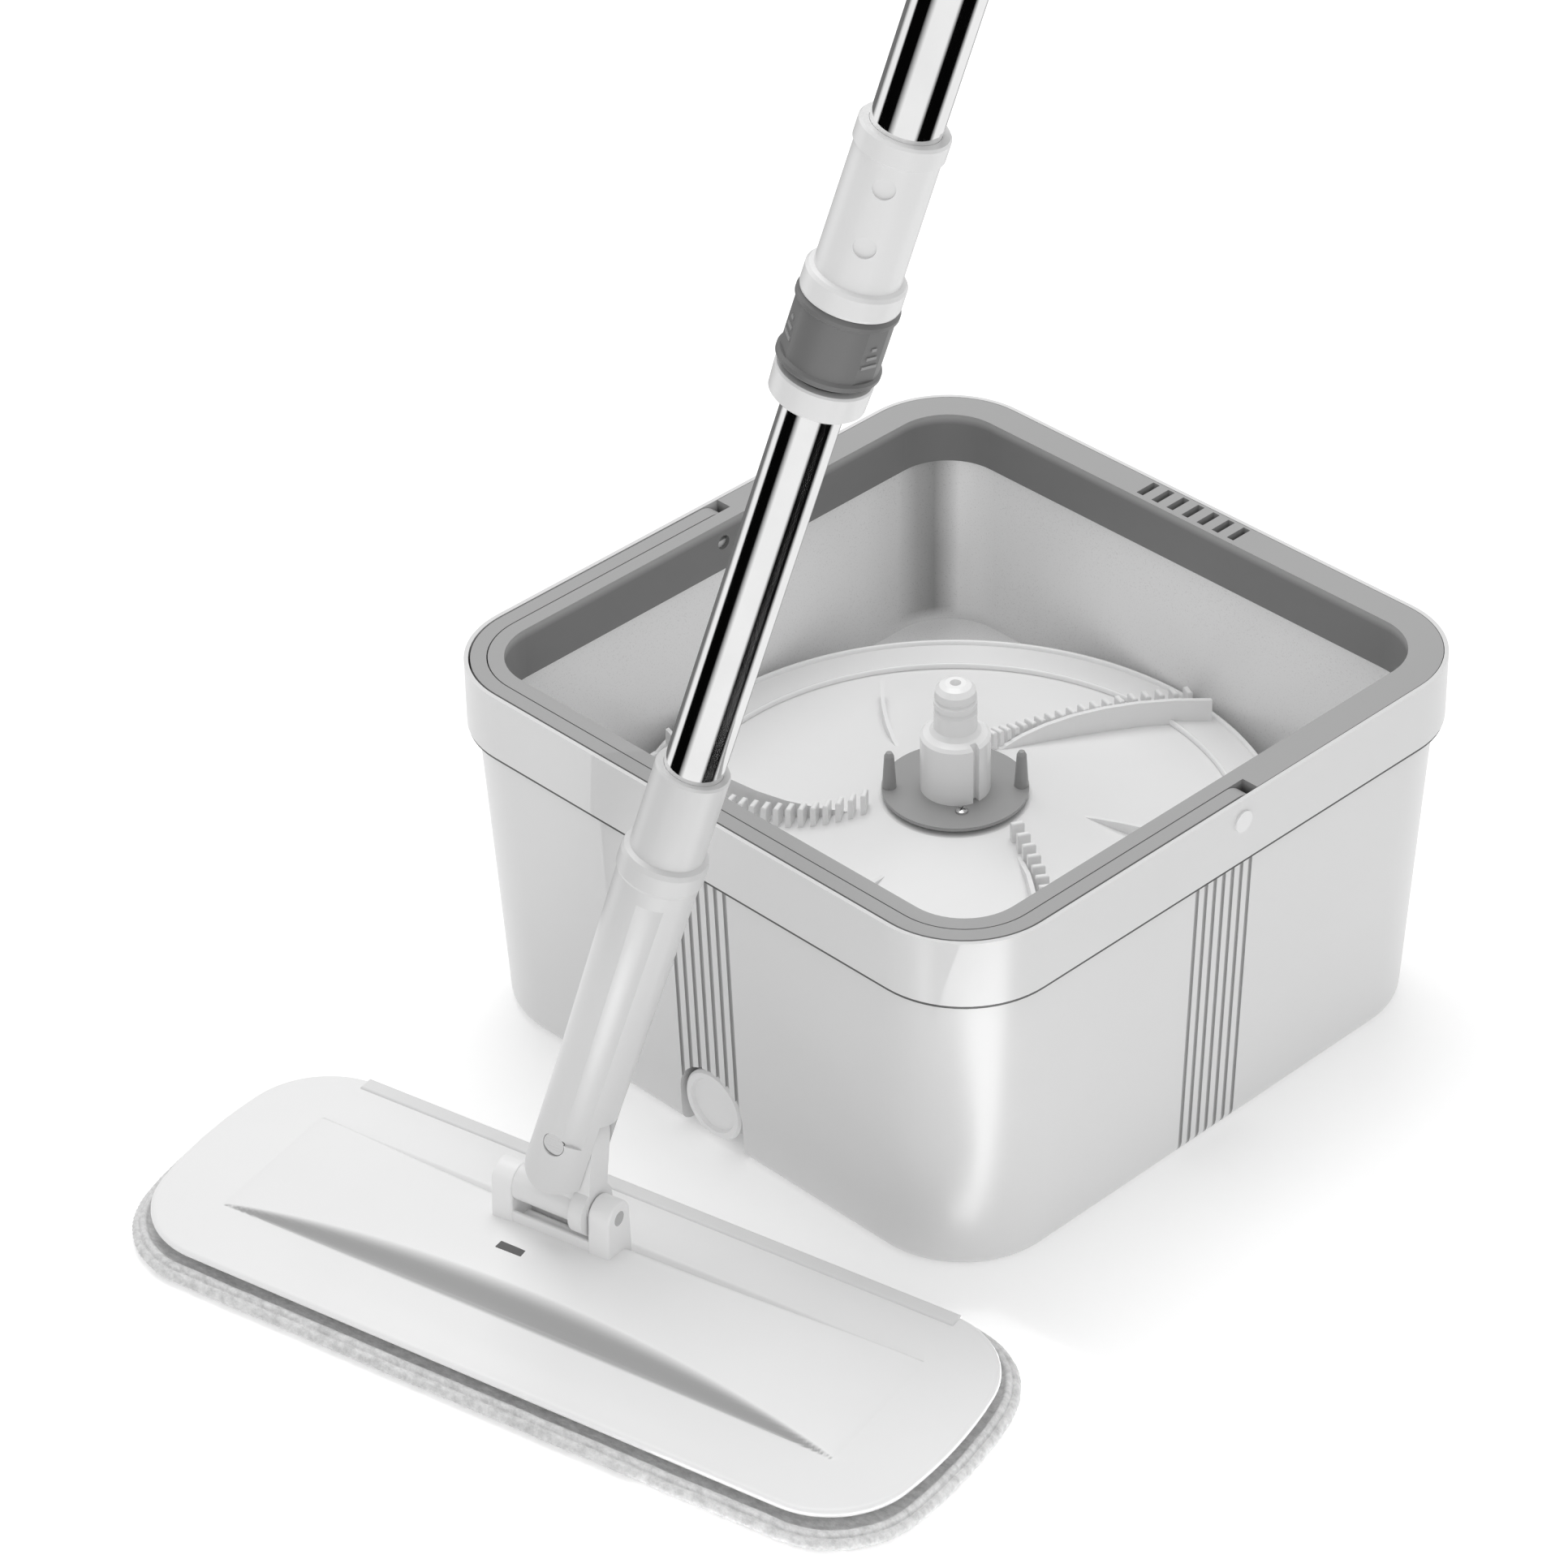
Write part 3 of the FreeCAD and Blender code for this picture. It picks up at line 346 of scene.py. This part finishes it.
LOOKS = {
    "outer_bucket": "white_shell", "handle_pivot_pins": "collar_white", "rim_ring": "rim_grey",
    "carry_handle": "rim_grey", "inner_basin": "basin_silver", "wash_tray": "tray_grey",
    "tank_divider": "basin_silver", "bearing_housing": "dark", "hub_bearings": "steel",
    "housing_screws": "steel", "rotor_flange": "flange_grey", "drive_pins": "flange_grey",
    "flange_screws": "steel", "spindle_post": "post_grey", "post_cap": "post_grey",
    "spindle_shaft": "steel", "pump_impeller": "dark", "shaft_clip": "steel", "pump_housing": "basin_silver",
    "pump_cover": "basin_silver", "drain_socket": "dark", "drain_plug": "tray_grey", "drain_seal": "rubber",
    "head_plate": "head_white", "rear_edge_strip": "joint_white", "base_plate": "dark",
    "plate_screws": "steel", "hook_strips": "hook", "cloth_pad": "cloth", "hinge_axle": "steel",
    "knuckle_block": "joint_white", "tilt_pin": "steel", "pole_socket": "sleeve_white",
    "socket_screw": "steel", "lower_tube": "chrome", "nut_housing": "dark", "nut_retainer": "dark",
    "drive_nut": "dark", "twisted_rod": "steel", "rod_anchor": "dark", "upper_tube": "chrome",
    "clamp_bush": "dark", "end_ring": "collar_white", "lock_ring": "lock_grey",
    "collar_sleeve": "collar_white", "hand_grip": "dark", "hanging_cap": "dark"}


def smooth_shading(item, angle=35):
    """Smooth faces with sharp edges wherever the surface turns by more than the angle."""
    mesh = item.data
    mesh.polygons.foreach_set("use_smooth", [True] * len(mesh.polygons))
    mesh.set_sharp_from_angle(angle=math.radians(angle))


def dress_cad_nodes():
    for name, item in NODES.items():
        item.data.materials.clear()
        item.data.materials.append(MATERIALS[LOOKS[name]])
    # Painted shade: faces in the bucket's rib grooves get a darker grey material.
    shell = NODES["outer_bucket"].data
    shell.materials.append(MATERIALS["rib_groove_painted_shade"])
    for polygon in shell.polygons:
        if in_rib_groove(polygon.center / MM):
            polygon.material_index = 1


RIB_FRONT_X, RIB_RIGHT_Y, RIB_SPAN = 3.0, -4.0, 17.0


def in_rib_groove(place):
    """Whether a point, in mm, lies on the floor or the flanks of one of the bucket's rib grooves."""
    if not 30.0 < place.z < 131.0:
        return False
    side = 137.0 + 5.25 * place.z / 132.0
    front = abs(place.x - RIB_FRONT_X) < RIB_SPAN and 0.1 < side + place.y < 1.0
    right = abs(place.y - RIB_RIGHT_Y) < RIB_SPAN and 0.1 < side - place.x < 1.0
    return front or right


# ---------------------------------------------------------------- mesh helpers
def add_mesh(name, vertices, faces, material, matrix=None, angle=40):
    """A smooth-shaded mesh object."""
    mesh = bpy.data.meshes.new(name)
    mesh.from_pydata(vertices, [], faces)
    mesh.validate()
    builder = bmesh.new()
    builder.from_mesh(mesh)
    bmesh.ops.remove_doubles(builder, verts=builder.verts, dist=0.000002)
    bmesh.ops.recalc_face_normals(builder, faces=builder.faces)
    builder.to_mesh(mesh)
    builder.free()
    item = bpy.data.objects.new(name, mesh)
    bpy.context.scene.collection.objects.link(item)
    mesh.materials.append(MATERIALS[material])
    smooth_shading(item, angle)
    if matrix is not None:
        item.matrix_world = matrix
    return item


def rings_to_mesh(rings, close_start=True, close_end=True):
    """Vertices and faces of a skin over closed rings that all have the same number of points."""
    count = len(rings[0])
    vertices = [point for ring in rings for point in ring]
    faces = []
    for level in range(len(rings) - 1):
        low = level * count
        for here in range(count):
            there = (here + 1) % count
            faces.append((low + here, low + there, low + count + there, low + count + here))
    if close_start:
        faces.append(tuple(range(count - 1, -1, -1)))
    if close_end:
        last = (len(rings) - 1) * count
        faces.append(tuple(range(last, last + count)))
    return vertices, faces


def smooth_step(share):
    share = max(0.0, min(1.0, share))
    return share * share * (3 - 2 * share)


# ---------------------------------------------------------------- mop head
HEAD_STEP = 1.3


def head_outline(length, width, bow, corner, step=HEAD_STEP):
    """Straight long sides, bowed ends and round corners, from the middle of the front side, in mm."""
    end_radius = (bow ** 2 + width ** 2) / (2 * bow)
    end_centre = length - end_radius
    corner_y = width - corner
    corner_x = end_centre + math.sqrt((end_radius - corner) ** 2 - corner_y ** 2)
    swing = math.atan2(corner_y, corner_x - end_centre)
    quarter = []
    side_count = round(corner_x / step)
    quarter += [(corner_x * i / side_count, -width) for i in range(side_count)]
    bend_count = round(corner * (math.pi / 2 - swing) / step)
    for i in range(bend_count):
        turn = -math.pi / 2 + (math.pi / 2 - swing) * i / bend_count
        quarter.append((corner_x + corner * math.cos(turn), -corner_y + corner * math.sin(turn)))
    end_count = round(end_radius * swing / step)
    for i in range(end_count):
        turn = -swing + swing * i / end_count
        quarter.append((end_centre + end_radius * math.cos(turn), end_radius * math.sin(turn)))
    tip = [(length, 0.0)]
    upper = [(x, -y) for x, y in reversed(quarter[1:])]
    right = quarter + tip + upper
    middle_top = [(0.0, width)]
    left = [(-x, y) for x, y in reversed(right[1:])]
    return right + middle_top + left


PLATE_LENGTH, PLATE_WIDTH, PLATE_BOW, PLATE_CORNER = 168.5, 60.0, 10.0, 36.0
PLATE_LOW, PLATE_HIGH = 10.0, 13.0
LENS_HALF, LENS_LINE, LENS_BULGE, LENS_RISE = 136.0, 31.0, 13.0, 7.4
COVER_RINGS = 84
RIDGE_SHARE = 0.78


def cover_height(x, y):
    """How far the cover's top stands above its flat rim: a lens with a scooped face at the front and back."""
    edge = min(1.0, (PLATE_WIDTH - abs(y)) / 16)
    crown = 0.8 * smooth_step(edge) * (1 - (x / 180) ** 2)
    share = 1 - (x / LENS_HALF) ** 2
    if share <= 0:
        return crown
    bulge = LENS_BULGE * share
    rise = LENS_RISE * share ** 0.7
    inside = LENS_LINE - abs(y)
    if inside <= 0:
        return crown
    if inside < bulge:
        part = inside / bulge
        scoop = -1.8 * share * math.sin(math.pi * min(1.0, part * 1.6)) if part < 0.625 else 0.0
        return crown + scoop + rise * smooth_step(part ** 1.3)
    top = 1 - (abs(y) / (LENS_LINE - bulge)) ** 2
    return crown + rise + 1.4 * share * max(0.0, top)


def head_cover():
    levels = [(1.2, PLATE_LOW), (0.4, PLATE_LOW + 0.2), (0.0, PLATE_LOW + 0.9), (0.05, PLATE_LOW + 1.9),
              (0.35, PLATE_LOW + 2.5), (0.9, PLATE_LOW + 2.85)]
    rings = []
    base = head_outline(PLATE_LENGTH, PLATE_WIDTH, PLATE_BOW, PLATE_CORNER)
    count_of = len(base)
    for inset, height in levels:
        ring = []
        for index in range(count_of):
            x, y = base[index]
            before = base[index - 1]
            after = base[(index + 1) % count_of]
            along = Vector((after[0] - before[0], after[1] - before[1], 0)).normalized()
            ring.append(Vector((x - along.y * inset, y + along.x * inset, height)) * MM)
        rings.append(ring)
    first = [Vector((p.x / MM, p.y / MM, 0)) for p in rings[-1]]
    for step in range(1, COVER_RINGS + 1):
        share = step / COVER_RINGS
        ring = []
        for point in first:
            x = point.x + (point.x * RIDGE_SHARE - point.x) * share
            y = point.y * (1 - share)
            ring.append(Vector((x, y, PLATE_HIGH + cover_height(x, y))) * MM)
        rings.append(ring)
    vertices, faces = rings_to_mesh(rings, True, False)
    cover = add_mesh("head_cover", vertices, faces, "head_white", HEAD_FRAME, 60)
    # The scoop attribute holds the painted shade of each vertex on the scooped faces.
    scoop = cover.data.attributes.new("scoop", "FLOAT", "POINT")
    for index, vertex in enumerate(cover.data.vertices):
        scoop.data[index].value = scoop_shade_at(vertex.co.x / MM, vertex.co.y / MM)
    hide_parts("head_plate")
    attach(cover, "mop_head")
    return cover


def scoop_shade_at(x, y):
    """How far into one of the lens's scooped faces a point of the cover lies, from 0 to 1, at full weight
    where y is below zero and half where it is above: the share of painted shade the point gets.
    """
    share = 1 - (x / LENS_HALF) ** 2
    inside = LENS_LINE - abs(y)
    bulge = LENS_BULGE * share
    if share <= 0 or inside <= 0 or inside >= bulge:
        return 0.0
    return smooth_step(4 * inside / bulge) * smooth_step(2.5 * (1 - inside / bulge)) * (1.0 if y < 0 else 0.5)


EAR_IN, EAR_OUT, EAR_HALF, TROUGH_RISE = 17.0, 26.5, 7.0, 5.5
HINGE_HEIGHT = HINGE_POINT.z / MM


def block_part(name, outline, x0, x1, rounding, material="head_white"):
    """An upright slab on the head: a (y, z) outline in mm that runs from x0 to x1, with its edges rounded."""
    count = len(outline)
    vertices = [Vector((x, y, z)) * MM for x in (x0, x1) for y, z in outline]
    faces = [tuple(range(count)), tuple(range(2 * count - 1, count - 1, -1))]
    faces += [(i, (i + 1) % count, count + (i + 1) % count, count + i) for i in range(count)]
    item = add_mesh(name, vertices, faces, material, HEAD_FRAME, 30)
    bevel = item.modifiers.new("edges", "BEVEL")
    bevel.width = rounding * MM
    bevel.segments = 3
    bevel.limit_method = "ANGLE"
    bevel.angle_limit = math.radians(40)
    item.modifiers.new("normals", "WEIGHTED_NORMAL")
    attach(item, "mop_head")
    return item


def yoke():
    """The two ears that carry the axle, the low wall in front of them, and a dark sheet of painted shade where
    the slot before it lies.
    """
    foot = PLATE_HIGH + 3
    arc = []
    for step in range(25):
        turn = math.pi * step / 24
        arc.append((YOKE_ACROSS + EAR_HALF * math.cos(turn), HINGE_HEIGHT + EAR_HALF * math.sin(turn)))
    outline = arc + [(YOKE_ACROSS - EAR_HALF - 1.0, foot), (YOKE_ACROSS + EAR_HALF + 1.0, foot)]
    for name, side in (("yoke_ear_left", -1), ("yoke_ear_right", 1)):
        x0, x1 = sorted((YOKE_ALONG + side * EAR_IN, YOKE_ALONG + side * EAR_OUT))
        block_part(name, outline, x0, x1, 1.0)
    front = YOKE_ACROSS - EAR_HALF
    top = 21.0 + TROUGH_RISE
    wall = [(front, foot), (front + 1.6, foot), (front + 1.6, top), (front, top)]
    block_part("yoke_trough", wall, YOKE_ALONG - EAR_IN - 0.5, YOKE_ALONG + EAR_IN + 0.5, 0.5)
    back = YOKE_ACROSS + EAR_HALF
    block_part("yoke_back", [(back - 1.6, foot), (back, foot), (back, top - 1), (back - 1.6, top - 1)],
               YOKE_ALONG - EAR_IN - 0.5, YOKE_ALONG + EAR_IN + 0.5, 0.5)
    # Painted shade: a thin dark grey sheet on the cover stands for the slot's shadowed opening.
    height = PLATE_HIGH + cover_height(-22, -4) + 0.12
    slot_shadow_outline = [(-6.0, height - 1), (-2.0, height - 1), (-2.0, height), (-6.0, height)]
    block_part("head_slot_shadow_sheet", slot_shadow_outline, -28.0, -16.5, 0.3, "slot_painted_shade")


def square_ring(name, inner, outer, low, high, corner, material):
    """A thin band round the bucket: a rounded square with half widths, a corner radius and heights in mm."""
    rings = []
    for half, height in ((inner, low), (outer, low), (outer, high), (inner, high), (inner, low)):
        radius = corner + half - outer
        ring = []
        for quarter in range(4):
            middle = half - radius
            for step in range(17):
                turn = math.radians(90 * quarter + 90 * step / 16)
                x = middle * (1 if quarter in (0, 3) else -1) + radius * math.cos(turn)
                y = middle * (1 if quarter in (0, 1) else -1) + radius * math.sin(turn)
                ring.append(Vector((x, y, height)) * MM)
        rings.append(ring)
    vertices, faces = rings_to_mesh(rings, False, False)
    band = add_mesh(name, vertices, faces, material, None, 40)
    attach(band, "bucket")


def round_ring(name, radius, width, low, high):
    """A lip on the wash tray, coloured lighter than the tray as a painted highlight: a ring of the given
    middle radius and width, rounded on top, in mm.
    """
    section = [(-0.5, 0.0), (-0.5, 0.6), (-0.35, 0.88), (0.0, 1.0), (0.35, 0.88), (0.5, 0.6), (0.5, 0.0)]
    count = 160
    vertices = []
    for across, share in section:
        for step in range(count):
            turn = 2 * math.pi * step / count
            reach = radius + across * width
            height = low + share * (high - low)
            vertices.append(Vector((reach * math.cos(turn), reach * math.sin(turn), height)) * MM)
    faces = []
    size = len(section)
    for level in range(size):
        above = (level + 1) % size
        for step in range(count):
            after = (step + 1) % count
            low_row, high_row = level * count, above * count
            faces.append((low_row + step, low_row + after, high_row + after, high_row + step))
    lip = add_mesh(name, vertices, faces, "tray_lip_painted_highlight", None, 60)
    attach(lip, "bucket")


def bucket_trim():
    # Painted shadow: a dark grey band just under the collar's overhang.
    square_ring("under_collar_shadow_band", 142.0, 144.6, 130.7, 132.1, 39.6, "painted_collar_shadow")
    round_ring("tray_rim_lip", 128.3, 2.0, 77.0, 79.4)
    round_ring("tray_inner_lip", 112.6, 1.6, 76.6, 78.6)


FACE_ANGLE = -52
LOCK_FLATS = (38, 158, 278)
BAR_WIDTHS = (7.0, 4.6, 2.2)
BAR_HEIGHT, BAR_PITCH, BAR_START = 1.2, 3.4, 351.0
BAR_DEPTHS = (16.4, 17.15)


def lock_marks():
    """Raised bars on the lock ring's flats."""
    for number, flat in enumerate(LOCK_FLATS):
        turn = FACE_ANGLE + flat
        for level, width in enumerate(BAR_WIDTHS):
            low = BAR_START + BAR_PITCH * level
            high = low + BAR_HEIGHT
            vertices = []
            for depth in BAR_DEPTHS:
                for y, z in ((-width / 2, low), (width / 2, low), (width / 2, high), (-width / 2, high)):
                    vertices.append(Vector((depth, y, z)) * MM)
            faces = [(0, 3, 2, 1), (4, 5, 6, 7), (0, 1, 5, 4), (1, 2, 6, 5), (2, 3, 7, 6), (3, 0, 4, 7)]
            matrix = POLE_FRAME @ Matrix.Rotation(math.radians(turn), 4, "Z")
            mark = add_mesh("lock_mark_%d_%d" % (number, level), vertices, faces, "lock_light", matrix)
            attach(mark, "lock")


CLOTH_LENGTH, CLOTH_WIDTH, CLOTH_BOW, CLOTH_CORNER = 175.0, 66.5, 11.0, 40.0


def cloth():
    """The looped pad: a ribbed knit edge, a bound seam above it and rows of loops underneath."""
    profile = [(60, 0.7), (40, 0.3), (20, 0.7), (12, 0.2), (6, 0.35), (3, 0.2), (1.4, 0.5), (0.6, 1.2),
               (0.1, 2.2), (0.0, 3.2), (0.3, 4.2), (0.9, 5.0), (1.7, 5.5), (2.3, 5.3), (2.6, 5.0), (2.9, 5.5),
               (3.3, 6.4),
               (4.0, 6.95), (4.8, 7.0), (5.5, 6.6), (5.9, 5.9), (6.6, 5.4), (9, 5.3), (20, 5.4), (50, 5.4)]
    base = head_outline(CLOTH_LENGTH, CLOTH_WIDTH, CLOTH_BOW, CLOTH_CORNER, 0.42)
    count = len(base)
    walked = 0.0
    places = []
    for index, (x, y) in enumerate(base):
        before = base[index - 1]
        after = base[(index + 1) % count]
        walked += math.hypot(x - before[0], y - before[1]) if index else 0.0
        along = Vector((after[0] - before[0], after[1] - before[1], 0)).normalized()
        places.append((x, y, -along.y, along.x, walked))
    rings = []
    for inset, height in profile:
        ring = []
        knit = smooth_step(1 - abs(height - 3.0) / 3.2) if inset < 2.5 else 0.0
        bound = 1.0 if 2.6 < inset < 6 else 0.0
        for x, y, inward_x, inward_y, walked in places:
            wave = noise.noise(Vector((x * 0.03, y * 0.03, 3.1)))
            drift = noise.noise(Vector((x * 0.11, y * 0.11, 7.7)))
            rib = math.sin((walked + height * 1.4) * 2 * math.pi / 2.3)
            rough = noise.noise(Vector((x * 1.3, y * 1.3, height * 1.3)))
            push = inset + 0.45 * wave + 0.3 * drift - knit * (0.22 * rib + 0.28 * rough)
            push -= bound * 0.1 * math.sin(walked * 2 * math.pi / 1.5)
            lift = 0.0 if height < 1 else 0.35 * wave * min(1.0, height / 5)
            limit = min(1.0, push / 60)
            px = x + inward_x * push if inset < 30 else x * (1 - 0.35 * limit)
            py = y + inward_y * push if inset < 30 else y * (1 - push / 67)
            ring.append(Vector((px, py, max(0.05, height + lift))) * MM)
        rings.append(ring)
    vertices, faces = rings_to_mesh(rings)
    pad = add_mesh("cloth", vertices, faces, "cloth", HEAD_FRAME, 180)
    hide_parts("cloth_pad")
    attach(pad, "mop_head")
    return pad


# ---------------------------------------------------------------- studio
def area_light(name, place, target, size, power, shade=1.0):
    data = bpy.data.lights.new(name, "AREA")
    data.shape = "RECTANGLE"
    data.size, data.size_y = size
    data.energy = power
    data.color = (shade, shade, shade)
    lamp = bpy.data.objects.new(name, data)
    bpy.context.scene.collection.objects.link(lamp)
    lamp.location = place
    lamp.rotation_euler = (Vector(target) - Vector(place)).to_track_quat("-Z", "Y").to_euler()
    return lamp


def floor_finish():
    """Matt white paper with a faint glow, so that it stays white in its own shadows."""
    material = plastic("floor_paint", 252, 0.85, drift=0.6)
    surface = material.node_tree.nodes["Principled BSDF"]
    surface.inputs["Emission Color"].default_value = (1.0, 1.0, 1.0, 1.0)
    surface.inputs["Emission Strength"].default_value = 0.22
    return material


CARD_REACH = (0.2, 0.4)
CARD_HALF_WIDTH = (0.01, 0.25)
CARD_HEIGHT = 0.002
CARD_GLOW = 5.5


def corner_card():
    """A bright wedge on the floor that only glossy surfaces see, for the gleam on the bucket's near corner."""
    near, far = CARD_REACH
    narrow, wide = CARD_HALF_WIDTH
    outline = [(near, -narrow), (far, -wide), (far, wide), (near, narrow)]
    mesh = bpy.data.meshes.new("corner_card")
    mesh.from_pydata([(x, y, CARD_HEIGHT) for x, y in outline], [], [(0, 1, 2, 3)])
    card = bpy.data.objects.new("corner_card", mesh)
    bpy.context.scene.collection.objects.link(card)
    card.rotation_euler = (0.0, 0.0, math.radians(-45))
    for ray in ("camera", "diffuse", "transmission", "volume_scatter", "shadow"):
        setattr(card, "visible_" + ray, False)
    shader = Shader("corner_glow")
    clouds = shader.noise(3.0, 2.0)
    color = shader.ramp(clouds, [(0.3, grey(250)), (0.7, grey(255))])
    shader.link(color, shader.surface.inputs["Base Color"])
    shader.surface.inputs["Emission Color"].default_value = (1.0, 1.0, 1.0, 1.0)
    shader.surface.inputs["Emission Strength"].default_value = CARD_GLOW
    mesh.materials.append(shader.material)


WORLD_LIGHT, WORLD_SEEN = 0.62, 1.0
FLOOR_HALF = 40.0


def studio():
    world = bpy.data.worlds.new("studio")
    bpy.context.scene.world = world
    world.use_nodes = True
    background = world.node_tree.nodes["Background"]
    background.inputs["Color"].default_value = (1.0, 1.0, 1.0, 1.0)
    tree = world.node_tree
    seen = tree.nodes.new("ShaderNodeLightPath")
    level = tree.nodes.new("ShaderNodeMapRange")
    level.inputs["To Min"].default_value = WORLD_LIGHT
    level.inputs["To Max"].default_value = WORLD_SEEN
    tree.links.new(seen.outputs["Is Camera Ray"], level.inputs["Value"])
    tree.links.new(level.outputs["Result"], background.inputs["Strength"])
    area_light("top", (-0.5, 0.3, 2.2), (0.0, -0.1, 0.0), (1.4, 1.4), 20)
    area_light("corner", (1.7, -1.5, 0.9), (0.0, 0.0, 0.08), (0.35, 0.9), 3)
    mesh = bpy.data.meshes.new("floor")
    corners = [(-FLOOR_HALF, -FLOOR_HALF, 0), (FLOOR_HALF, -FLOOR_HALF, 0), (FLOOR_HALF, FLOOR_HALF, 0),
               (-FLOOR_HALF, FLOOR_HALF, 0)]
    mesh.from_pydata(corners, [], [(0, 1, 2, 3)])
    floor = bpy.data.objects.new("floor", mesh)
    bpy.context.scene.collection.objects.link(floor)
    mesh.materials.append(floor_finish())
    corner_card()
    bpy.context.scene.view_settings.view_transform = "Standard"


# The screen round the pole, like a studio's: where each panel starts and ends, in degrees round the pole from
# the camera's side, and how bright it is.  The colour turns smoothly in the gap between two panels.
SCREEN_SIZE = (0.11, 0.02, 1.35, 96)  # radius, lower end, upper end, and the number of facets
BLACK_FLAG, GREY_WALL, SOFT_BOX = 5, 115, 240
SCREEN_PANELS = ((-180, -125, GREY_WALL), (-110, -92, SOFT_BOX), (-85, -45, BLACK_FLAG), (-25, 35, SOFT_BOX),
                 (45, 85, BLACK_FLAG), (100, 145, SOFT_BOX), (165, 180, GREY_WALL))


def reflector_drum():
    """A panelled screen round the pole that only shows in reflections."""
    radius, low, high, count = SCREEN_SIZE
    vertices = []
    for height in (low, high):
        for index in range(count):
            turn = 2 * math.pi * index / count
            vertices.append((radius * math.cos(turn), radius * math.sin(turn), height))
    faces = [(i, (i + 1) % count, count + (i + 1) % count, count + i) for i in range(count)]
    mesh = bpy.data.meshes.new("reflector_drum")
    mesh.from_pydata(vertices, [], faces)
    drum = bpy.data.objects.new("reflector_drum", mesh)
    bpy.context.scene.collection.objects.link(drum)
    towards = (CAMERA_PLACE - PIN_POINT).normalized()
    towards = (towards - POLE_AXIS * towards.dot(POLE_AXIS)).normalized()
    drum.matrix_world = frame_matrix(PIN_POINT, towards, POLE_AXIS.cross(towards), POLE_AXIS)
    drum.parent = BODIES["lower_pole"]
    for ray in ("camera", "diffuse", "transmission", "volume_scatter", "shadow"):
        setattr(drum, "visible_" + ray, False)
    shader = Shader("drum_panels")
    split = shader.add("ShaderNodeSeparateXYZ")
    shader.link(shader.place, split.inputs["Vector"])
    turn = shader.add("ShaderNodeMath", operation="ARCTAN2")
    shader.link(split.outputs["Y"], turn.inputs[0])
    shader.link(split.outputs["X"], turn.inputs[1])
    share = shader.add("ShaderNodeMapRange")
    share.inputs["From Min"].default_value = -math.pi
    share.inputs["From Max"].default_value = math.pi
    shader.link(turn.outputs["Value"], share.inputs["Value"])
    stops = []
    for start, end, level in SCREEN_PANELS:
        stops += [((start + 180) / 360, grey(level)), ((end + 180) / 360, grey(level))]
    color = shader.ramp(share.outputs["Result"], stops)
    glow = shader.add("ShaderNodeEmission")
    shader.link(color, glow.inputs["Color"])
    clear = shader.add("ShaderNodeBsdfTransparent")
    side = shader.add("ShaderNodeNewGeometry")
    mixed = shader.add("ShaderNodeMixShader")
    shader.link(side.outputs["Backfacing"], mixed.inputs["Fac"])
    shader.link(clear.outputs["BSDF"], mixed.inputs[1])
    shader.link(glow.outputs["Emission"], mixed.inputs[2])
    shader.link(mixed.outputs["Shader"], shader.tree.nodes["Material Output"].inputs["Surface"])
    mesh.materials.append(shader.material)


def main():
    add_camera()
    studio()
    dress_cad_nodes()
    reflector_drum()
    head_cover()
    yoke()
    bucket_trim()
    cloth()
    lock_marks()


main()
